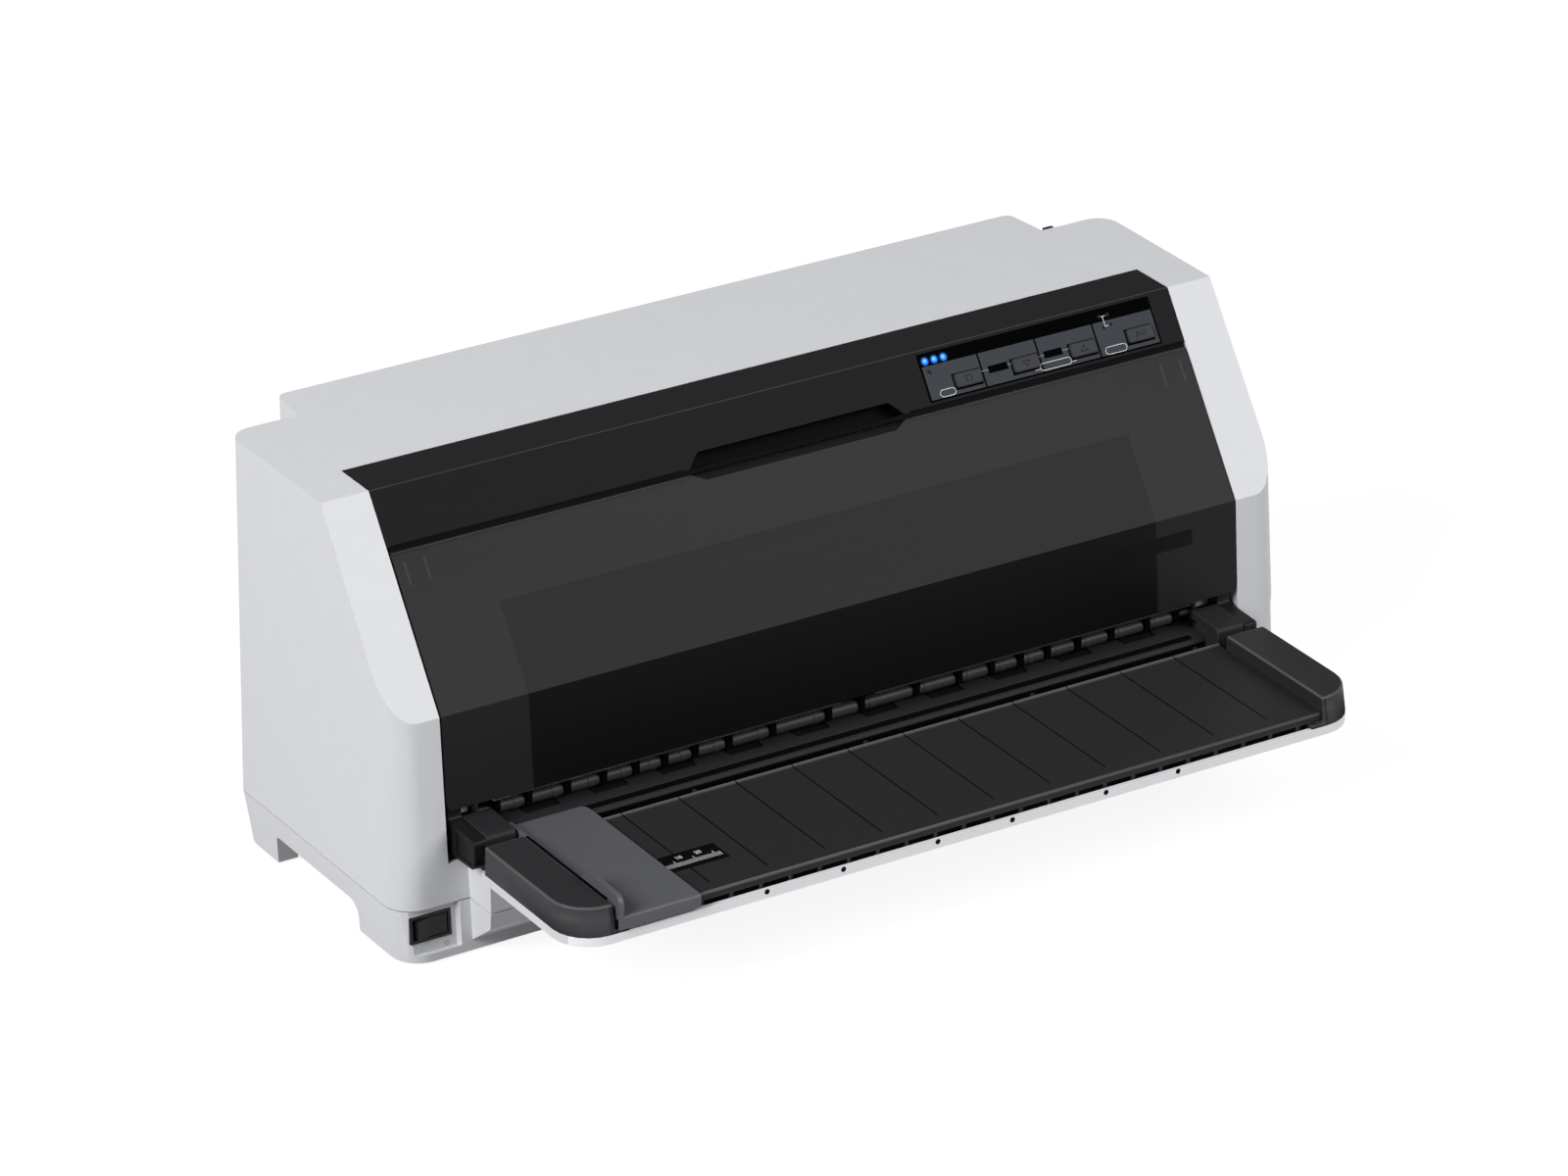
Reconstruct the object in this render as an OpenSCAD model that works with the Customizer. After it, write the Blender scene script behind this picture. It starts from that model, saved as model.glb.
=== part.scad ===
// A wide flat-bed dot matrix printer, built as it comes apart on a bench.
// X runs to the right, Y to the back, Z up. The origin is under the middle of the whole object, on the table.
// Depths are counted from the knee: the fold where the sloped front meets the upright front.

/* [Case] */
// Width of the case at the seam
case_w = 619; // [595:1:660]
// Height of the case
case_h = 261; // [250:1:285]
// Depth from the knee to the rear wall
case_d = 190; // [187:1:215]
// How far each side leans in from the seam to the top
side_lean = 3; // [0:0.5:5]
// How far the front face leans forward from the knee to the table
front_lean = 11; // [8:0.5:13]
// Height of the knee
knee_z = 149.5; // [146:0.5:156]
// Depth from the knee to the front edge of the top
top_setback = 77; // [70:1:84]
// Height of the seam between the lower and the upper case
seam_z = 34; // [32:0.5:35]
// Radius of the upright front corners
corner_r = 18; // [10:1:22]
// Radius of the upright rear corners
rear_corner_r = 14; // [6:1:20]
// Wall thickness of the case
wall = 3; // [2:0.25:3.5]
// Width of each end cap beside the front opening
end_cap_w = 34; // [32:0.5:40]
// How far the rear hood stands out behind the rear wall
hood_reach = 32; // [20:1:45]
// How far each side of the rear hood lies inside the side of the case
hood_inset = 52.5; // [45:0.5:60]
// Height of the rear hood
hood_h = 44; // [35:1:50]
// How far the front apron stands out in front of the front face
apron_reach = 24; // [18:0.5:25]
// Thickness of the rubber pads under the feet
pad_t = 1.5; // [1:0.25:2.5]

/* [Control bar] */
// Depth of the control bar on the top of the case
bar_top_d = 32.5; // [26:0.5:40]
// Length of the control bar down the slope
bar_front_len = 34.5; // [33:0.5:38]
// Thickness of the control bar
bar_t = 3; // [2.5:0.25:4]
// Width of the finger notch at its mouth
notch_w = 152; // [100:1:170]
// Height of the finger notch up the slope
notch_h = 9; // [6:0.5:12]
// Width of the key panel
panel_w = 166.5; // [160:0.5:168]
// Height of the key panel up the slope
panel_h = 30; // [28:0.5:31]
// Distance from the middle of the key panel to the right side of the front opening
panel_inset = 98.8; // [92:0.1:105]
// Distance between two keys
key_pitch = 41.2; // [36:0.1:42]
// Width of a key
key_w = 18.2; // [14:0.1:22]
// Height of a key
key_h = 8.4; // [7:0.1:10]
// How far a key stands out of the panel
key_proud = 1.6; // [1.2:0.1:2.4]
// Travel of a key
key_travel = 0.8; // [0.5:0.1:1]

/* [Front cover] */
// Thickness of the smoked cover
cover_t = 2.5; // [2:0.1:3]
// Gap between the cover and the case
cover_gap = 1.3; // [0.8:0.1:2]
// Height of the lower edge of the cover over the paper path
cover_rise = 17.5; // [16:0.5:20]
// Depth of the cover's side flanges
flange_d = 13; // [10:0.5:15]
// Width of a cover arm
arm_w = 8.6; // [7:0.1:9]
// Radius of the hinge pins of the cover
hinge_pin_r = 3; // [2:0.1:3.5]

/* [Paper tray] */
// How far each side of the tray lies inside the side of the case
tray_inset = 39.5; // [37:0.5:43]
// Reach of the tray in front of the knee
tray_reach = 140; // [130:1:160]
// Height of the paper path
path_z = 73.5; // [72.5:0.1:74]
// Width of each raised end block of the tray
block_w = 26.5; // [22:0.5:27]
// Height of the end blocks over the tray plate
block_h = 9.5; // [7:0.5:10]
// Thickness of the tray plate
plate_t = 2.5; // [2:0.1:3]
// Radius of the front corners of the tray
tray_corner_r = 24; // [16:1:26]
// Distance between two grooves of the tray plate
groove_pitch = 38.5; // [30:0.5:42]
// Depth of the visible rim of the light under-shell
shell_rim = 5.6; // [4:0.1:6]
// Width of the edge guide
guide_w = 53; // [40:0.5:60]
// Height of the edge guide's hump over the tray plate
guide_hump = 16; // [12:0.5:17]

/* [Print engine] */
// Radius of the driven rollers
roller_r = 8; // [7:0.1:8.2]
// Radius of the pinch rollers
pinch_r = 4.5; // [4:0.1:5]
// Radius of the carriage rod
rod_r = 5; // [4:0.1:6]
// Width of the carriage
carriage_w = 60; // [50:1:66]
// Thickness of the steel side frames
frame_t = 2; // [1.5:0.1:2.5]
// Radius of the belt pulleys
pulley_r = 8; // [7:0.1:9]
// Width of the gears
gear_w = 6; // [5:0.1:7]
// Width of a tractor
tractor_w = 24; // [22:0.5:26]
// Distance from the middle to each tractor
tractor_x = 150; // [130:1:160]

/* [Hidden] */
$fn = 48;
eps = 0.01;
running = 0.06;      // radial clearance of a shaft in its bore
fit = 0.4;           // clearance between pieces that are only placed together
seam_gap = 0.8;      // the groove between the lower and the upper case
hull_fn = 32;

// ---- places worked out from the sizes above; y from the knee ----
skirt = 1.8;                                 // how far the edge guide reaches in front of the tray
total_d = skirt + tray_reach + case_d + hood_reach;
knee_y = -total_d / 2 + tray_reach + skirt;
half_w = case_w / 2;
opening_half = half_w - end_cap_w;
hood_w = case_w - 2 * hood_inset;
panel_x = opening_half - panel_inset;
cover_low_z = path_z + cover_rise;
slope_len = norm([top_setback, case_h - knee_z]);
slope_a = atan2(case_h - knee_z, top_setback);
front_a = atan2(front_lean, knee_z);
function front_y(z) = -(knee_z - z) * front_lean / knee_z;
function side_x(z) = half_w - side_lean * (z - seam_z) / (case_h - seam_z);
function slope_y(s) = s * cos(slope_a);
function slope_z(s) = knee_z + s * sin(slope_a);

bar_low_s = slope_len - bar_front_len;
bar_back_y = top_setback + bar_top_d;
cover_top_s = bar_low_s - 2.9;
cover_half = opening_half - cover_gap;
arm_out = cover_half - 2.5;
arm_in = arm_out - arm_w;
block_out = arm_in - fit;                    // outer face of a hinge block
apron_half = block_out;
apron_y = front_y(seam_z) - apron_reach;
apron_top = path_z - 14.5;
hinge_y = -19;
hinge_z = path_z - 1;
hinge_block_w = 19;
hinge_block_top = path_z + 10.5;

block_top = path_z + block_h;
tray_half = half_w - tray_inset;
plate_half = tray_half - block_w;
tray_back_y = -30;
block_back_y = -39;
shell_z = path_z - 13.5;                     // underside of the tray's rim
shell_top = shell_z + shell_rim;
lip_z = path_z - 5.3;                         // underside of the tray plate's front lip

roller_y = 9;
roller_z = path_z - roller_r - 0.2;
rear_roller_y = 80;
pinch_z = path_z + pinch_r + 0.3;
platen_y = 59;
frame_in = opening_half - 26.5;
board_x0 = frame_in - 299;                      // left edge of the main board
frame_out = frame_in + frame_t;
frame_back_y = case_d - 10;
floor_z = 36;
frame_front_y = 4.4;
rod_y = 84;
rod_z = path_z + 38.5;
belt_y = 108;
belt_w = 6;
shelf_z = rod_z + 7;                         // underside of the shelves that carry the belt
belt_z = shelf_z + 7;
pulley_x = frame_in - 21;
tractor_y = case_d - 32;
tractor_z = path_z - 12.6;
tractor_rod_y = tractor_y - 26;
tractor_rod_z = path_z - 11.5;
rear_case_y = case_d;
rear_slot_low = path_z - 9;
door_low_z = path_z + 26;
door_top_z = case_h - hood_h - 2;
door_axis_z = door_top_z - 6;
rear_half = half_w - 69.5;
lever_x = half_w - 43;
lever_y = case_d + 9;
lever_z = case_h - 37;
inlet_x = -half_w + 97.5;                    // middle of the power inlet
port_x = half_w - 160.5;                     // middle of the wide socket
plug_x = half_w - 113;                       // middle of the small socket
journal_r = 3.9;                             // round ends of the square tractor shaft

module seat() { translate([0, knee_y, 0]) children(); }
// local frame on the slope: x across, y up the slope, z out of the case
module on_slope(s, x = 0) { translate([x, slope_y(s), slope_z(s)]) rotate([slope_a, 0, 0]) children(); }
// local frame on the lower front face: x across, y up the face, z out of the case
module on_front(z, x = 0) { translate([x, front_y(z), z]) rotate([90 - front_a, 0, 0]) children(); }
// a profile drawn in (y, z), extruded along x between two places
module along_x(x0, x1) { translate([x0, 0, 0]) rotate([90, 0, 90]) linear_extrude(x1 - x0) children(); }
module box(x0, x1, y0, y1, z0, z1) { translate([x0, y0, z0]) cube([x1 - x0, y1 - y0, z1 - z0]); }
module rod_x(x0, x1, y, z, r) { translate([x0, y, z]) rotate([0, 90, 0]) cylinder(r = r, h = x1 - x0); }
module both() { children(); mirror([1, 0, 0]) children(); }
// a closed outline with its corners turned into arcs: points [x, y, radius]
function unit(v) = v / norm(v);
function arc_at(a, b, c, steps = 6) =
    let (p = [b[0], b[1]], r = b[2])
    r <= 0 ? [p] :
    let (u = unit([a[0], a[1]] - p), w = unit([c[0], c[1]] - p),
        half = acos(max(-1, min(1, u * w))) / 2, reach = r / tan(half),
        centre = p + unit(u + w) * r / sin(half),
        from = p + u * reach - centre, to = p + w * reach - centre,
        a0 = atan2(from[1], from[0]), turn = atan2(from[0] * to[1] - from[1] * to[0], from * to))
    [for (i = [0:steps]) centre + r * [cos(a0 + turn * i / steps), sin(a0 + turn * i / steps)]];
function rounded(pts) = [for (i = [0:len(pts) - 1])
    each arc_at(pts[(i + len(pts) - 1) % len(pts)], pts[i], pts[(i + 1) % len(pts)])];
module plate_outline(w, h, r) {
    polygon(rounded([[-w / 2, -h / 2, r], [w / 2, -h / 2, r], [w / 2, h / 2, r], [-w / 2, h / 2, r]]));
}

// ---- case ----
// everything between two heights, drawn in by inset on all sides
module leaning_block(z0, z1, inset) {
    hull() for (z = [z0, z1 - eps]) both() {
        translate([side_x(z) - corner_r, front_y(z) + corner_r, z])
            cylinder(r = corner_r - inset, h = eps, $fn = hull_fn);
        translate([side_x(z) - rear_corner_r, case_d - rear_corner_r, z])
            cylinder(r = rear_corner_r - inset, h = eps, $fn = hull_fn);
    }
}
module above_slope(inset) {
    on_slope(0) translate([-half_w - 1, -slope_len, -inset])
        cube([case_w + 2, 3 * slope_len, case_h]);
}
module case_form(z0, z1, inset) {
    difference() {
        leaning_block(z0, z1, inset);
        above_slope(inset);
    }
}
module hood_form(inset, z0, z1) {
    root = hood_w / 2 + 3;
    r = 6;
    hull() both() {
        translate([hood_w / 2 - r, case_d + hood_reach - r, z0])
            cylinder(r = r - inset, h = z1 - z0, $fn = hull_fn);
        translate([root - inset - 1, case_d - wall - eps, z0]) cube([1, 1, z1 - z0]);
    }
}
module upper_case() color("#d9dade") {
    difference() {
        union() {
            case_form(seam_z + seam_gap, case_h, 0);
            hood_form(0, case_h - hood_h, case_h);
            box(-apron_half, apron_half, apron_y, front_y(seam_z) + wall, seam_z + seam_gap, apron_top);
        }
        difference() {
            case_form(seam_z - 1, case_h - wall, wall);
            // inner walls of the end caps, and the wall behind the recess in the right side
            both() box(opening_half, opening_half + wall, front_y(0), bar_back_y, seam_z, case_h);
            box(half_w - side_recess - wall, half_w, front_y(0), recess_back_y + wall, seam_z,
                recess_top + wall);
        }
        // recess low in the right side, behind the front corner
        translate([0, recess_back_y, 0]) rotate([90, 0, 0]) linear_extrude(60) polygon(rounded([
            [half_w + 5, seam_z, 0], [half_w + 5, recess_top + 4, 0], [half_w + 1, recess_top + 1, 0],
            [half_w - 3, recess_top - 4, 4], [half_w - side_recess, recess_top - 8, 4],
                [half_w - side_recess, seam_z, 0]]));
        // front opening, from the top of the apron to the back of the control bar
        box(-opening_half, opening_half, -2 * wall - front_lean, bar_back_y, cover_low_z, case_h + 1);
        box(-opening_half, opening_half, -2 * wall - front_lean, 8, apron_top, case_h);
        // hollow of the apron
        box(-apron_half + wall, apron_half - wall, apron_y + wall, 8, seam_z - 1, apron_top - wall);
        // hood: open downwards and into the case
        hood_form(wall, case_h - hood_h - 1, case_h - wall);
        // rear paper slot and the door above it
        box(-rear_half, rear_half, case_d - 2 * wall, case_d + 1, rear_slot_low, door_top_z);
        box(-rear_half, rear_half, case_d - 2 * wall, case_d + 1, door_top_z - 1, case_h - wall);
        rear_cuts();
    }
    // screw bosses, hinge lugs of the rear door and of the release lever
    both() for (y = [40, case_d - 30]) difference() {
        translate([half_w - 22, y, seam_z]) cylinder(r = 5, h = 22);
        translate([half_w - 22, y, seam_z - 1]) cylinder(r = 1.6, h = 18);
    }
    both() for (y = [40, case_d - 30])
        box(half_w - 17.4, half_w - wall + 0.4, y - 2, y + 2, seam_z + 1, seam_z + 18);
    // upright strips behind the ends of the cover
    both() along_x(frame_out + 1.5, opening_half + eps) strip_section(flange_d + 2, flange_d + 4.5);
    for (x = [lever_x - 6, lever_x + 3.4]) difference() {
        box(x, x + 2.6, case_d - wall, lever_y + 6, lever_z - 7, lever_z + 7);
        rod_x(x - 1, x + 4, lever_y, lever_z, 2 + running);
    }
    both() difference() {
        box(rear_half + 0.5, rear_half + 6.5, case_d - 13, case_d - wall + eps, door_axis_z - 6,
            door_axis_z + 6);
        rod_x(rear_half - 1, rear_half + 5, case_d - 7.5, door_axis_z, 2 + running);
    }
}
side_recess = 7;
recess_top = path_z + 9.5;
recess_back_y = 28;
module strip_section(t0, t1) {
    a = cover_line(t0);
    b = cover_line(t1);
    low = path_z + 6;
    polygon([a[0], a[1], [front_y(low) + t0, low], [front_y(low) + t1, low], b[1], b[0]]);
}
module rear_cuts() {
    // inlet, sockets and cooling slots in the rear wall
    box(inlet_x - 14, inlet_x + 14, case_d - 2 * wall, case_d + 1, seam_z + 5, seam_z + 25);
    box(port_x - 29, port_x + 29, case_d - 2 * wall, case_d + 1, seam_z + 7, seam_z + 20);
    box(plug_x - 6.5, plug_x + 6.5, case_d - 2 * wall, case_d + 1, seam_z + 7, seam_z + 19);
    for (i = [0:9]) box(inlet_x + 42 + 9 * i, inlet_x + 47 + 9 * i, case_d - 2 * wall, case_d + 1,
        seam_z + 6, seam_z + 24);
}
module lower_case() color("#d4d5da") {
    foot_inset = 3;
    cut_z = 20;
    difference() {
        union() {
            hull() both() {
                for (z = [pad_t, seam_z - eps]) {
                    k = (seam_z - z) / seam_z * foot_inset;
                    translate([half_w - corner_r - k, front_y(z) + corner_r, z])
                        cylinder(r = corner_r, h = eps, $fn = hull_fn);
                    translate([half_w - rear_corner_r - k, case_d - rear_corner_r - 2 * k, z])
                        cylinder(r = rear_corner_r, h = eps, $fn = hull_fn);
                }
            }
            along_x(-apron_half, apron_half) polygon([[0, 8], [front_y(8), 8],
                [apron_y + 1, seam_z - 10], [apron_y, seam_z], [0, seam_z]]);
        }
        // hollow above the floor, with solid corners for the screws
        translate([0, 0, cut_z + wall]) linear_extrude(seam_z) difference() {
            translate([0, case_d / 2]) plate_outline(case_w - 2 * foot_inset - 6 * wall + 8,
                case_d - 12, 12);
            both() for (y = [40, case_d - 30]) translate([half_w - 22, y]) circle(r = 5);
        }
        box(-apron_half + wall, apron_half - wall, apron_y + wall, 8, seam_z - 8, seam_z + 1);
        // hollow below the floor, and the gaps between the feet
        difference() {
            box(-half_w + 16, half_w - 16, 8, case_d - 18, -1, cut_z);
            pad_places() translate([0, 0, -2]) cylinder(r = 10, h = cut_z + 3);
        }
        along_x(-half_w - 1, half_w + 1)
            polygon(rounded([[44, -1, 0], [43, cut_z, 9], [141, cut_z, 3], [143, -1, 0]]));
        // pads, screws and the pocket of the switch
        pad_places() translate([0, 0, -1]) cylinder(r = 7 + fit / 2, h = 1 + 2 * pad_t);
        both() for (y = [40, case_d - 30]) {
            translate([half_w - 22, y, cut_z - 1]) cylinder(r = 1.8, h = seam_z);
            translate([half_w - 22, y, cut_z - 1]) cylinder(r = 4.2, h = 3);
        }
        switch_pocket();
    }
}
switch_x = -half_w + 21.6;
switch_z = 22;
switch_w = 27.2;
switch_h = 17;
module switch_pocket() {
    on_front(switch_z, switch_x) {
        translate([-switch_w / 2, -switch_h / 2, -22]) cube([switch_w, switch_h, 30]);
        // scooped surround, open at the seam
        rotate([-90, 0, 0]) translate([0, 0, -switch_h / 2 - 7]) linear_extrude(switch_h + 14) polygon([
            [-switch_w / 2 - 3.4, -1], [switch_w / 2 + 5, -1], [switch_w / 2 + 3, 3.2],
                [-switch_w / 2 - 0.8, 3.2]]);
    }
}
module pad_places() {
    both() for (y = [13, case_d - 22]) translate([half_w - 21, y, 0]) children();
}
module rubber_pads() color("#2b2b2d") pad_places() {
    cylinder(r = 7, h = 2 * pad_t);
}
module case_screws() color("#8d9096") both() for (y = [40, case_d - 30])
    translate([half_w - 22, y, 20 - 1]) {
    difference() {
        translate([0, 0, 0.2]) cylinder(r = 3.6, h = 2.2);
        translate([-2.5, -0.5, 0]) cube([5, 1, 1]);
        translate([-0.5, -2.5, 0]) cube([1, 5, 1]);
    }
    cylinder(r = 1.5, h = 24, $fn = 24);
}

// ---- control bar ----
key_s = bar_low_s + 11.2;
panel_s = bar_low_s + bar_front_len / 2;
function key_x(i) = panel_x + (i - 1.5) * key_pitch + 8;
module bar_section() {
    b = bar_t;
    gap = 0.4;
    polygon([[bar_back_y - gap, case_h], [top_setback, case_h],
        [slope_y(bar_low_s), slope_z(bar_low_s)],
        [slope_y(bar_low_s) + 10 * sin(slope_a), slope_z(bar_low_s) - 10 * cos(slope_a)],
        [slope_y(bar_low_s + b) + 10 * sin(slope_a), slope_z(bar_low_s + b) - 10 * cos(slope_a)],
        [slope_y(bar_low_s + b) + b * sin(slope_a), slope_z(bar_low_s + b) - b * cos(slope_a)],
        [top_setback + b * tan(slope_a / 2), case_h - b],
        [bar_back_y - gap - b, case_h - b], [bar_back_y - gap - b, case_h - 8], [bar_back_y - gap,
            case_h - 8]]);
}
module notch_outline(grow, low) {
    polygon(rounded([[-notch_w / 2 - grow, low, 0], [-notch_w / 2 + 10 - grow, notch_h + grow, 3],
        [notch_w / 2 - 10 + grow, notch_h + grow, 3], [notch_w / 2 + grow, low, 0]]));
}
module control_bar() color("#262628") {
    difference() {
        union() {
            along_x(-opening_half + 0.5, opening_half - 0.5) bar_section();
            // closed back of the finger notch
            on_slope(bar_low_s) translate([0, 0, -12]) linear_extrude(12 - eps) notch_outline(2, 0);
        }
        on_slope(bar_low_s) translate([0, 0, -9]) linear_extrude(12) notch_outline(0, -2);
        on_slope(panel_s, panel_x) {
            translate([0, 0, -1.2]) linear_extrude(3) square([panel_w, panel_h], center = true);
        }
        for (i = [0:3]) on_slope(key_s, key_x(i)) translate([0, 0, -bar_t - 1])
            linear_extrude(bar_t + 2) plate_outline(key_w + 1, key_h + 1, 1.6);
        lamp_places() translate([0, 0, -bar_t - 1]) cylinder(r = 1.2, h = bar_t + 2);
    }
    // snaps that hook under the top of the case, and posts for the key board
    for (x = [-200, -70, 70, 200]) box(x - 8, x + 8, bar_back_y - 4, bar_back_y + 4, case_h - 7.6,
        case_h - wall - fit);
    for (x = [-1, 1]) on_slope(panel_s + 3, panel_x + x * (panel_w / 2 + 3)) translate([-2, -5, -9])
        cube([4, 10, 9 - bar_t + eps]);
}
lamp_s = panel_s + panel_h / 2 - 4.7;
lamp_low_s = lamp_s - 7.3;
module lamp_places() {
    for (i = [0:2]) on_slope(lamp_s, panel_x - panel_w / 2 + 5 + 6.4 * i) children();
    on_slope(lamp_low_s, panel_x - panel_w / 2 + 6) children();
    on_slope(lamp_s, panel_x + panel_w / 2 - 37) children();
    on_slope(lamp_low_s, panel_x + panel_w / 2 - 36) children();
}
module key_panel() color("#5b6066") difference() {
    on_slope(panel_s, panel_x) translate([0, 0, -1.2]) linear_extrude(0.9)
        square([panel_w - 0.6, panel_h - 0.6], center = true);
    for (i = [0:3]) on_slope(key_s, key_x(i)) translate([0, 0, -2]) linear_extrude(3)
        plate_outline(key_w + 0.8, key_h + 0.8, 1.5);
    lamp_places() translate([0, 0, -2]) cylinder(r = 1.2, h = 3);
}
module lamp_lenses() color("#2f8fff") lamp_places() {
    translate([0, 0, -9.2]) cylinder(r = 1.1, h = 9);
}
module key_board() color("#2f6b3a") {
    on_slope(panel_s + 3, panel_x) translate([-panel_w / 2 - 5, -11, -10.8]) cube([panel_w + 10, 22, 1.6]);
    for (i = [0:3]) on_slope(key_s, key_x(i)) translate([-3, -3, -9.3]) cube([6, 6, 3.4]);
}
module key(i) color("#3a3b3d") {
    on_slope(key_s, key_x(i)) {
        translate([0, 0, -2.4]) linear_extrude(key_proud + 2.4 - 0.3) plate_outline(key_w, key_h, 1.3);
        translate([0, 0, -3]) linear_extrude(key_proud + 3) plate_outline(key_w - 0.8, key_h - 0.8, 1);
        translate([0, 0, -5.9 + key_travel + 0.05]) cylinder(r = 1.5, h = 4);
    }
}

// ---- front cover ----
// section of the smoked cover in (y, z), drawn in by t0 and as thick as t1 - t0
function cover_line(t) = let (bend = (90 - slope_a - front_a) / 2) [
    [slope_y(cover_top_s) + t * sin(slope_a), slope_z(cover_top_s) - t * cos(slope_a)],
    [t * cos((90 - slope_a + front_a) / 2) / cos(bend),
        knee_z - t * sin((90 - slope_a + front_a) / 2) / cos(bend)],
    [front_y(cover_low_z) + t / cos(front_a), cover_low_z]];
lip_d = 4;                                   // width of the slanted strip along the cover's top edge
module cover_section(t0, t1) {
    a = cover_line(t0);
    b = cover_line(t1);
    polygon([a[0], a[1], a[2], b[2], b[1], b[0]]);
}
// a strip on the inside of the slope between two places, drawn in (y, z)
module on_slope_section(s0, s1, t0, t1) {
    polygon([for (p = [[s0, t0], [s1, t0], [s1, t1], [s0, t1]])
        [slope_y(p[0]) + p[1] * sin(slope_a), slope_z(p[0]) - p[1] * cos(slope_a)]]);
}
// an upright rib on the inside, from a place on the slope past the knee
module cover_rib(s) {
    a = cover_line(cover_t - 0.2);
    b = cover_line(cover_t + 1.2);
    polygon([[slope_y(s) + (cover_t - 0.2) * sin(slope_a), slope_z(s) - (cover_t - 0.2) * cos(slope_a)],
        a[1], [a[2][0], cover_low_z + 20],
        [b[2][0], cover_low_z + 20], b[1], [slope_y(s) + (cover_t + 1.2) * sin(slope_a),
            slope_z(s) - (cover_t + 1.2) * cos(slope_a)]]);
}
module arm_section() {
    polygon(rounded([[front_y(102) + 0.2, 102, 0], [-0.5, 98, 0], [-0.8, hinge_z + 10.5, 3],
        [hinge_y - 11.2, hinge_z + 9.3, 2],
        [hinge_y - 11.2, hinge_z - 8.8, 3], [6, hinge_z - 10, 5], [front_y(102) + flange_d, hinge_z + 4, 4],
        [front_y(102) + flange_d, 102, 0]]));
}
module front_cover() color("#2a2a2c") {
    difference() {
        union() {
            along_x(-cover_half, cover_half) cover_section(0, cover_t);
            // side flanges and arms
            both() along_x(cover_half - cover_t, cover_half) cover_section(cover_t / 2, flange_d);
            both() along_x(arm_in, arm_out) arm_section();
            // inner ribs and the doubled lower edge
            both() along_x(cover_half - 17, cover_half - 15) cover_section(cover_t / 2, 8);
            along_x(-arm_in, arm_in) polygon([[front_y(103) + 1, 103], [front_y(103) + cover_t + 2, 103],
                [front_y(cover_low_z) + cover_t + 2, cover_low_z], [front_y(cover_low_z) + 1,
                    cover_low_z]]);
            // pad behind the finger scoop
            on_slope(cover_top_s) translate([-notch_w / 2 - 5, -14, -6]) cube([notch_w + 10, 14, 5]);
            // raised frame on the inside
            along_x(-frame_in + 29, frame_in - 35) on_slope_section(54, 56, cover_t - 0.2, cover_t + 1.2);
            for (x = [-frame_in + 29, frame_in - 37]) along_x(x, x + 2) cover_rib(54);
            // latch bosses
            both() on_slope(84, cover_half - 11.5) translate([-6.5, -7, -6]) cube([13, 14, 5]);
        }
        // finger scoop along the top edge, with slanted ends
        intersection() {
            on_slope(cover_top_s) rotate([0, 90, 0]) translate([0, 0, -notch_w / 2]) linear_extrude(notch_w)
                polygon([[-0.5, -5.3], [0.5, -5.2], [3.6, 0.5], [-0.5, 0.5]]);
            on_slope(cover_top_s) translate([0, 0, -5]) linear_extrude(8) polygon([[-notch_w / 2 + 12, -6],
                [notch_w / 2 - 12, -6], [notch_w / 2, 1], [-notch_w / 2, 1]]);
        }
        both() rod_x(arm_in - 1, arm_out - 1.4, hinge_y, hinge_z, hinge_pin_r);
        // slanted strip along the top edge, cut lower corners and the sunk faces of the arms' feet
        on_slope(cover_top_s) rotate([0, 90, 0]) translate([0, 0, -half_w]) linear_extrude(case_w)
            polygon([[0.8, 0.5], [-0.1, -lip_d - 0.5625], [-1, -lip_d - 0.5625], [-1, 0.5]]);
        both() translate([0, 30, 0]) rotate([90, 0, 0]) linear_extrude(60)
            polygon([[cover_half - 2.4, cover_low_z - 1],
            [cover_half + 1, cover_low_z - 1], [cover_half + 1, cover_low_z + 6], [cover_half,
                cover_low_z + 5]]);
        both() along_x(arm_out - 0.8, arm_out + 1) foot_outline(2);
        both() box(arm_in + 1.6, arm_out - 1.6, hinge_y - 12, hinge_y - 9.8, hinge_z - 6, hinge_z + 6);
    }
}
module foot_outline(rim) {
    polygon(rounded([[hinge_y - 11.2 + rim, hinge_z + 9.3 - rim, 1], [hinge_y - 11.2 + rim,
        hinge_z - 8.8 + rim, 1.5],
        [hinge_y + 9, hinge_z - 8.8 + rim, 1], [hinge_y + 9, hinge_z + 9.3 - rim, 1]]));
}
module cover_pins() color("#9a9da3") both()
    rod_x(block_out - 13, arm_out - 1.4, hinge_y, hinge_z, hinge_pin_r);
module hinge_blocks() color("#2b2b2d") both() difference() {
    along_x(block_out - hinge_block_w, block_out) polygon(rounded([[-6, apron_top, 0], [-6, path_z + 6, 0],
        [0, path_z + 6, 0], [0, hinge_block_top, 1], [-29.5, hinge_block_top - 1, 4], [-29.5,
            hinge_z - 8, 3],
        [-24, apron_top, 0]]));
    rod_x(block_out - 13.2, block_out + 1, hinge_y, hinge_z, hinge_pin_r + running);
    // heads of the two fixing screws, seen from inside
    for (y = [-8, -15]) rod_x(block_out - hinge_block_w - 1, block_out - hinge_block_w + 1.5, y,
        hinge_z + 6, 1.6);
}

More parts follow.
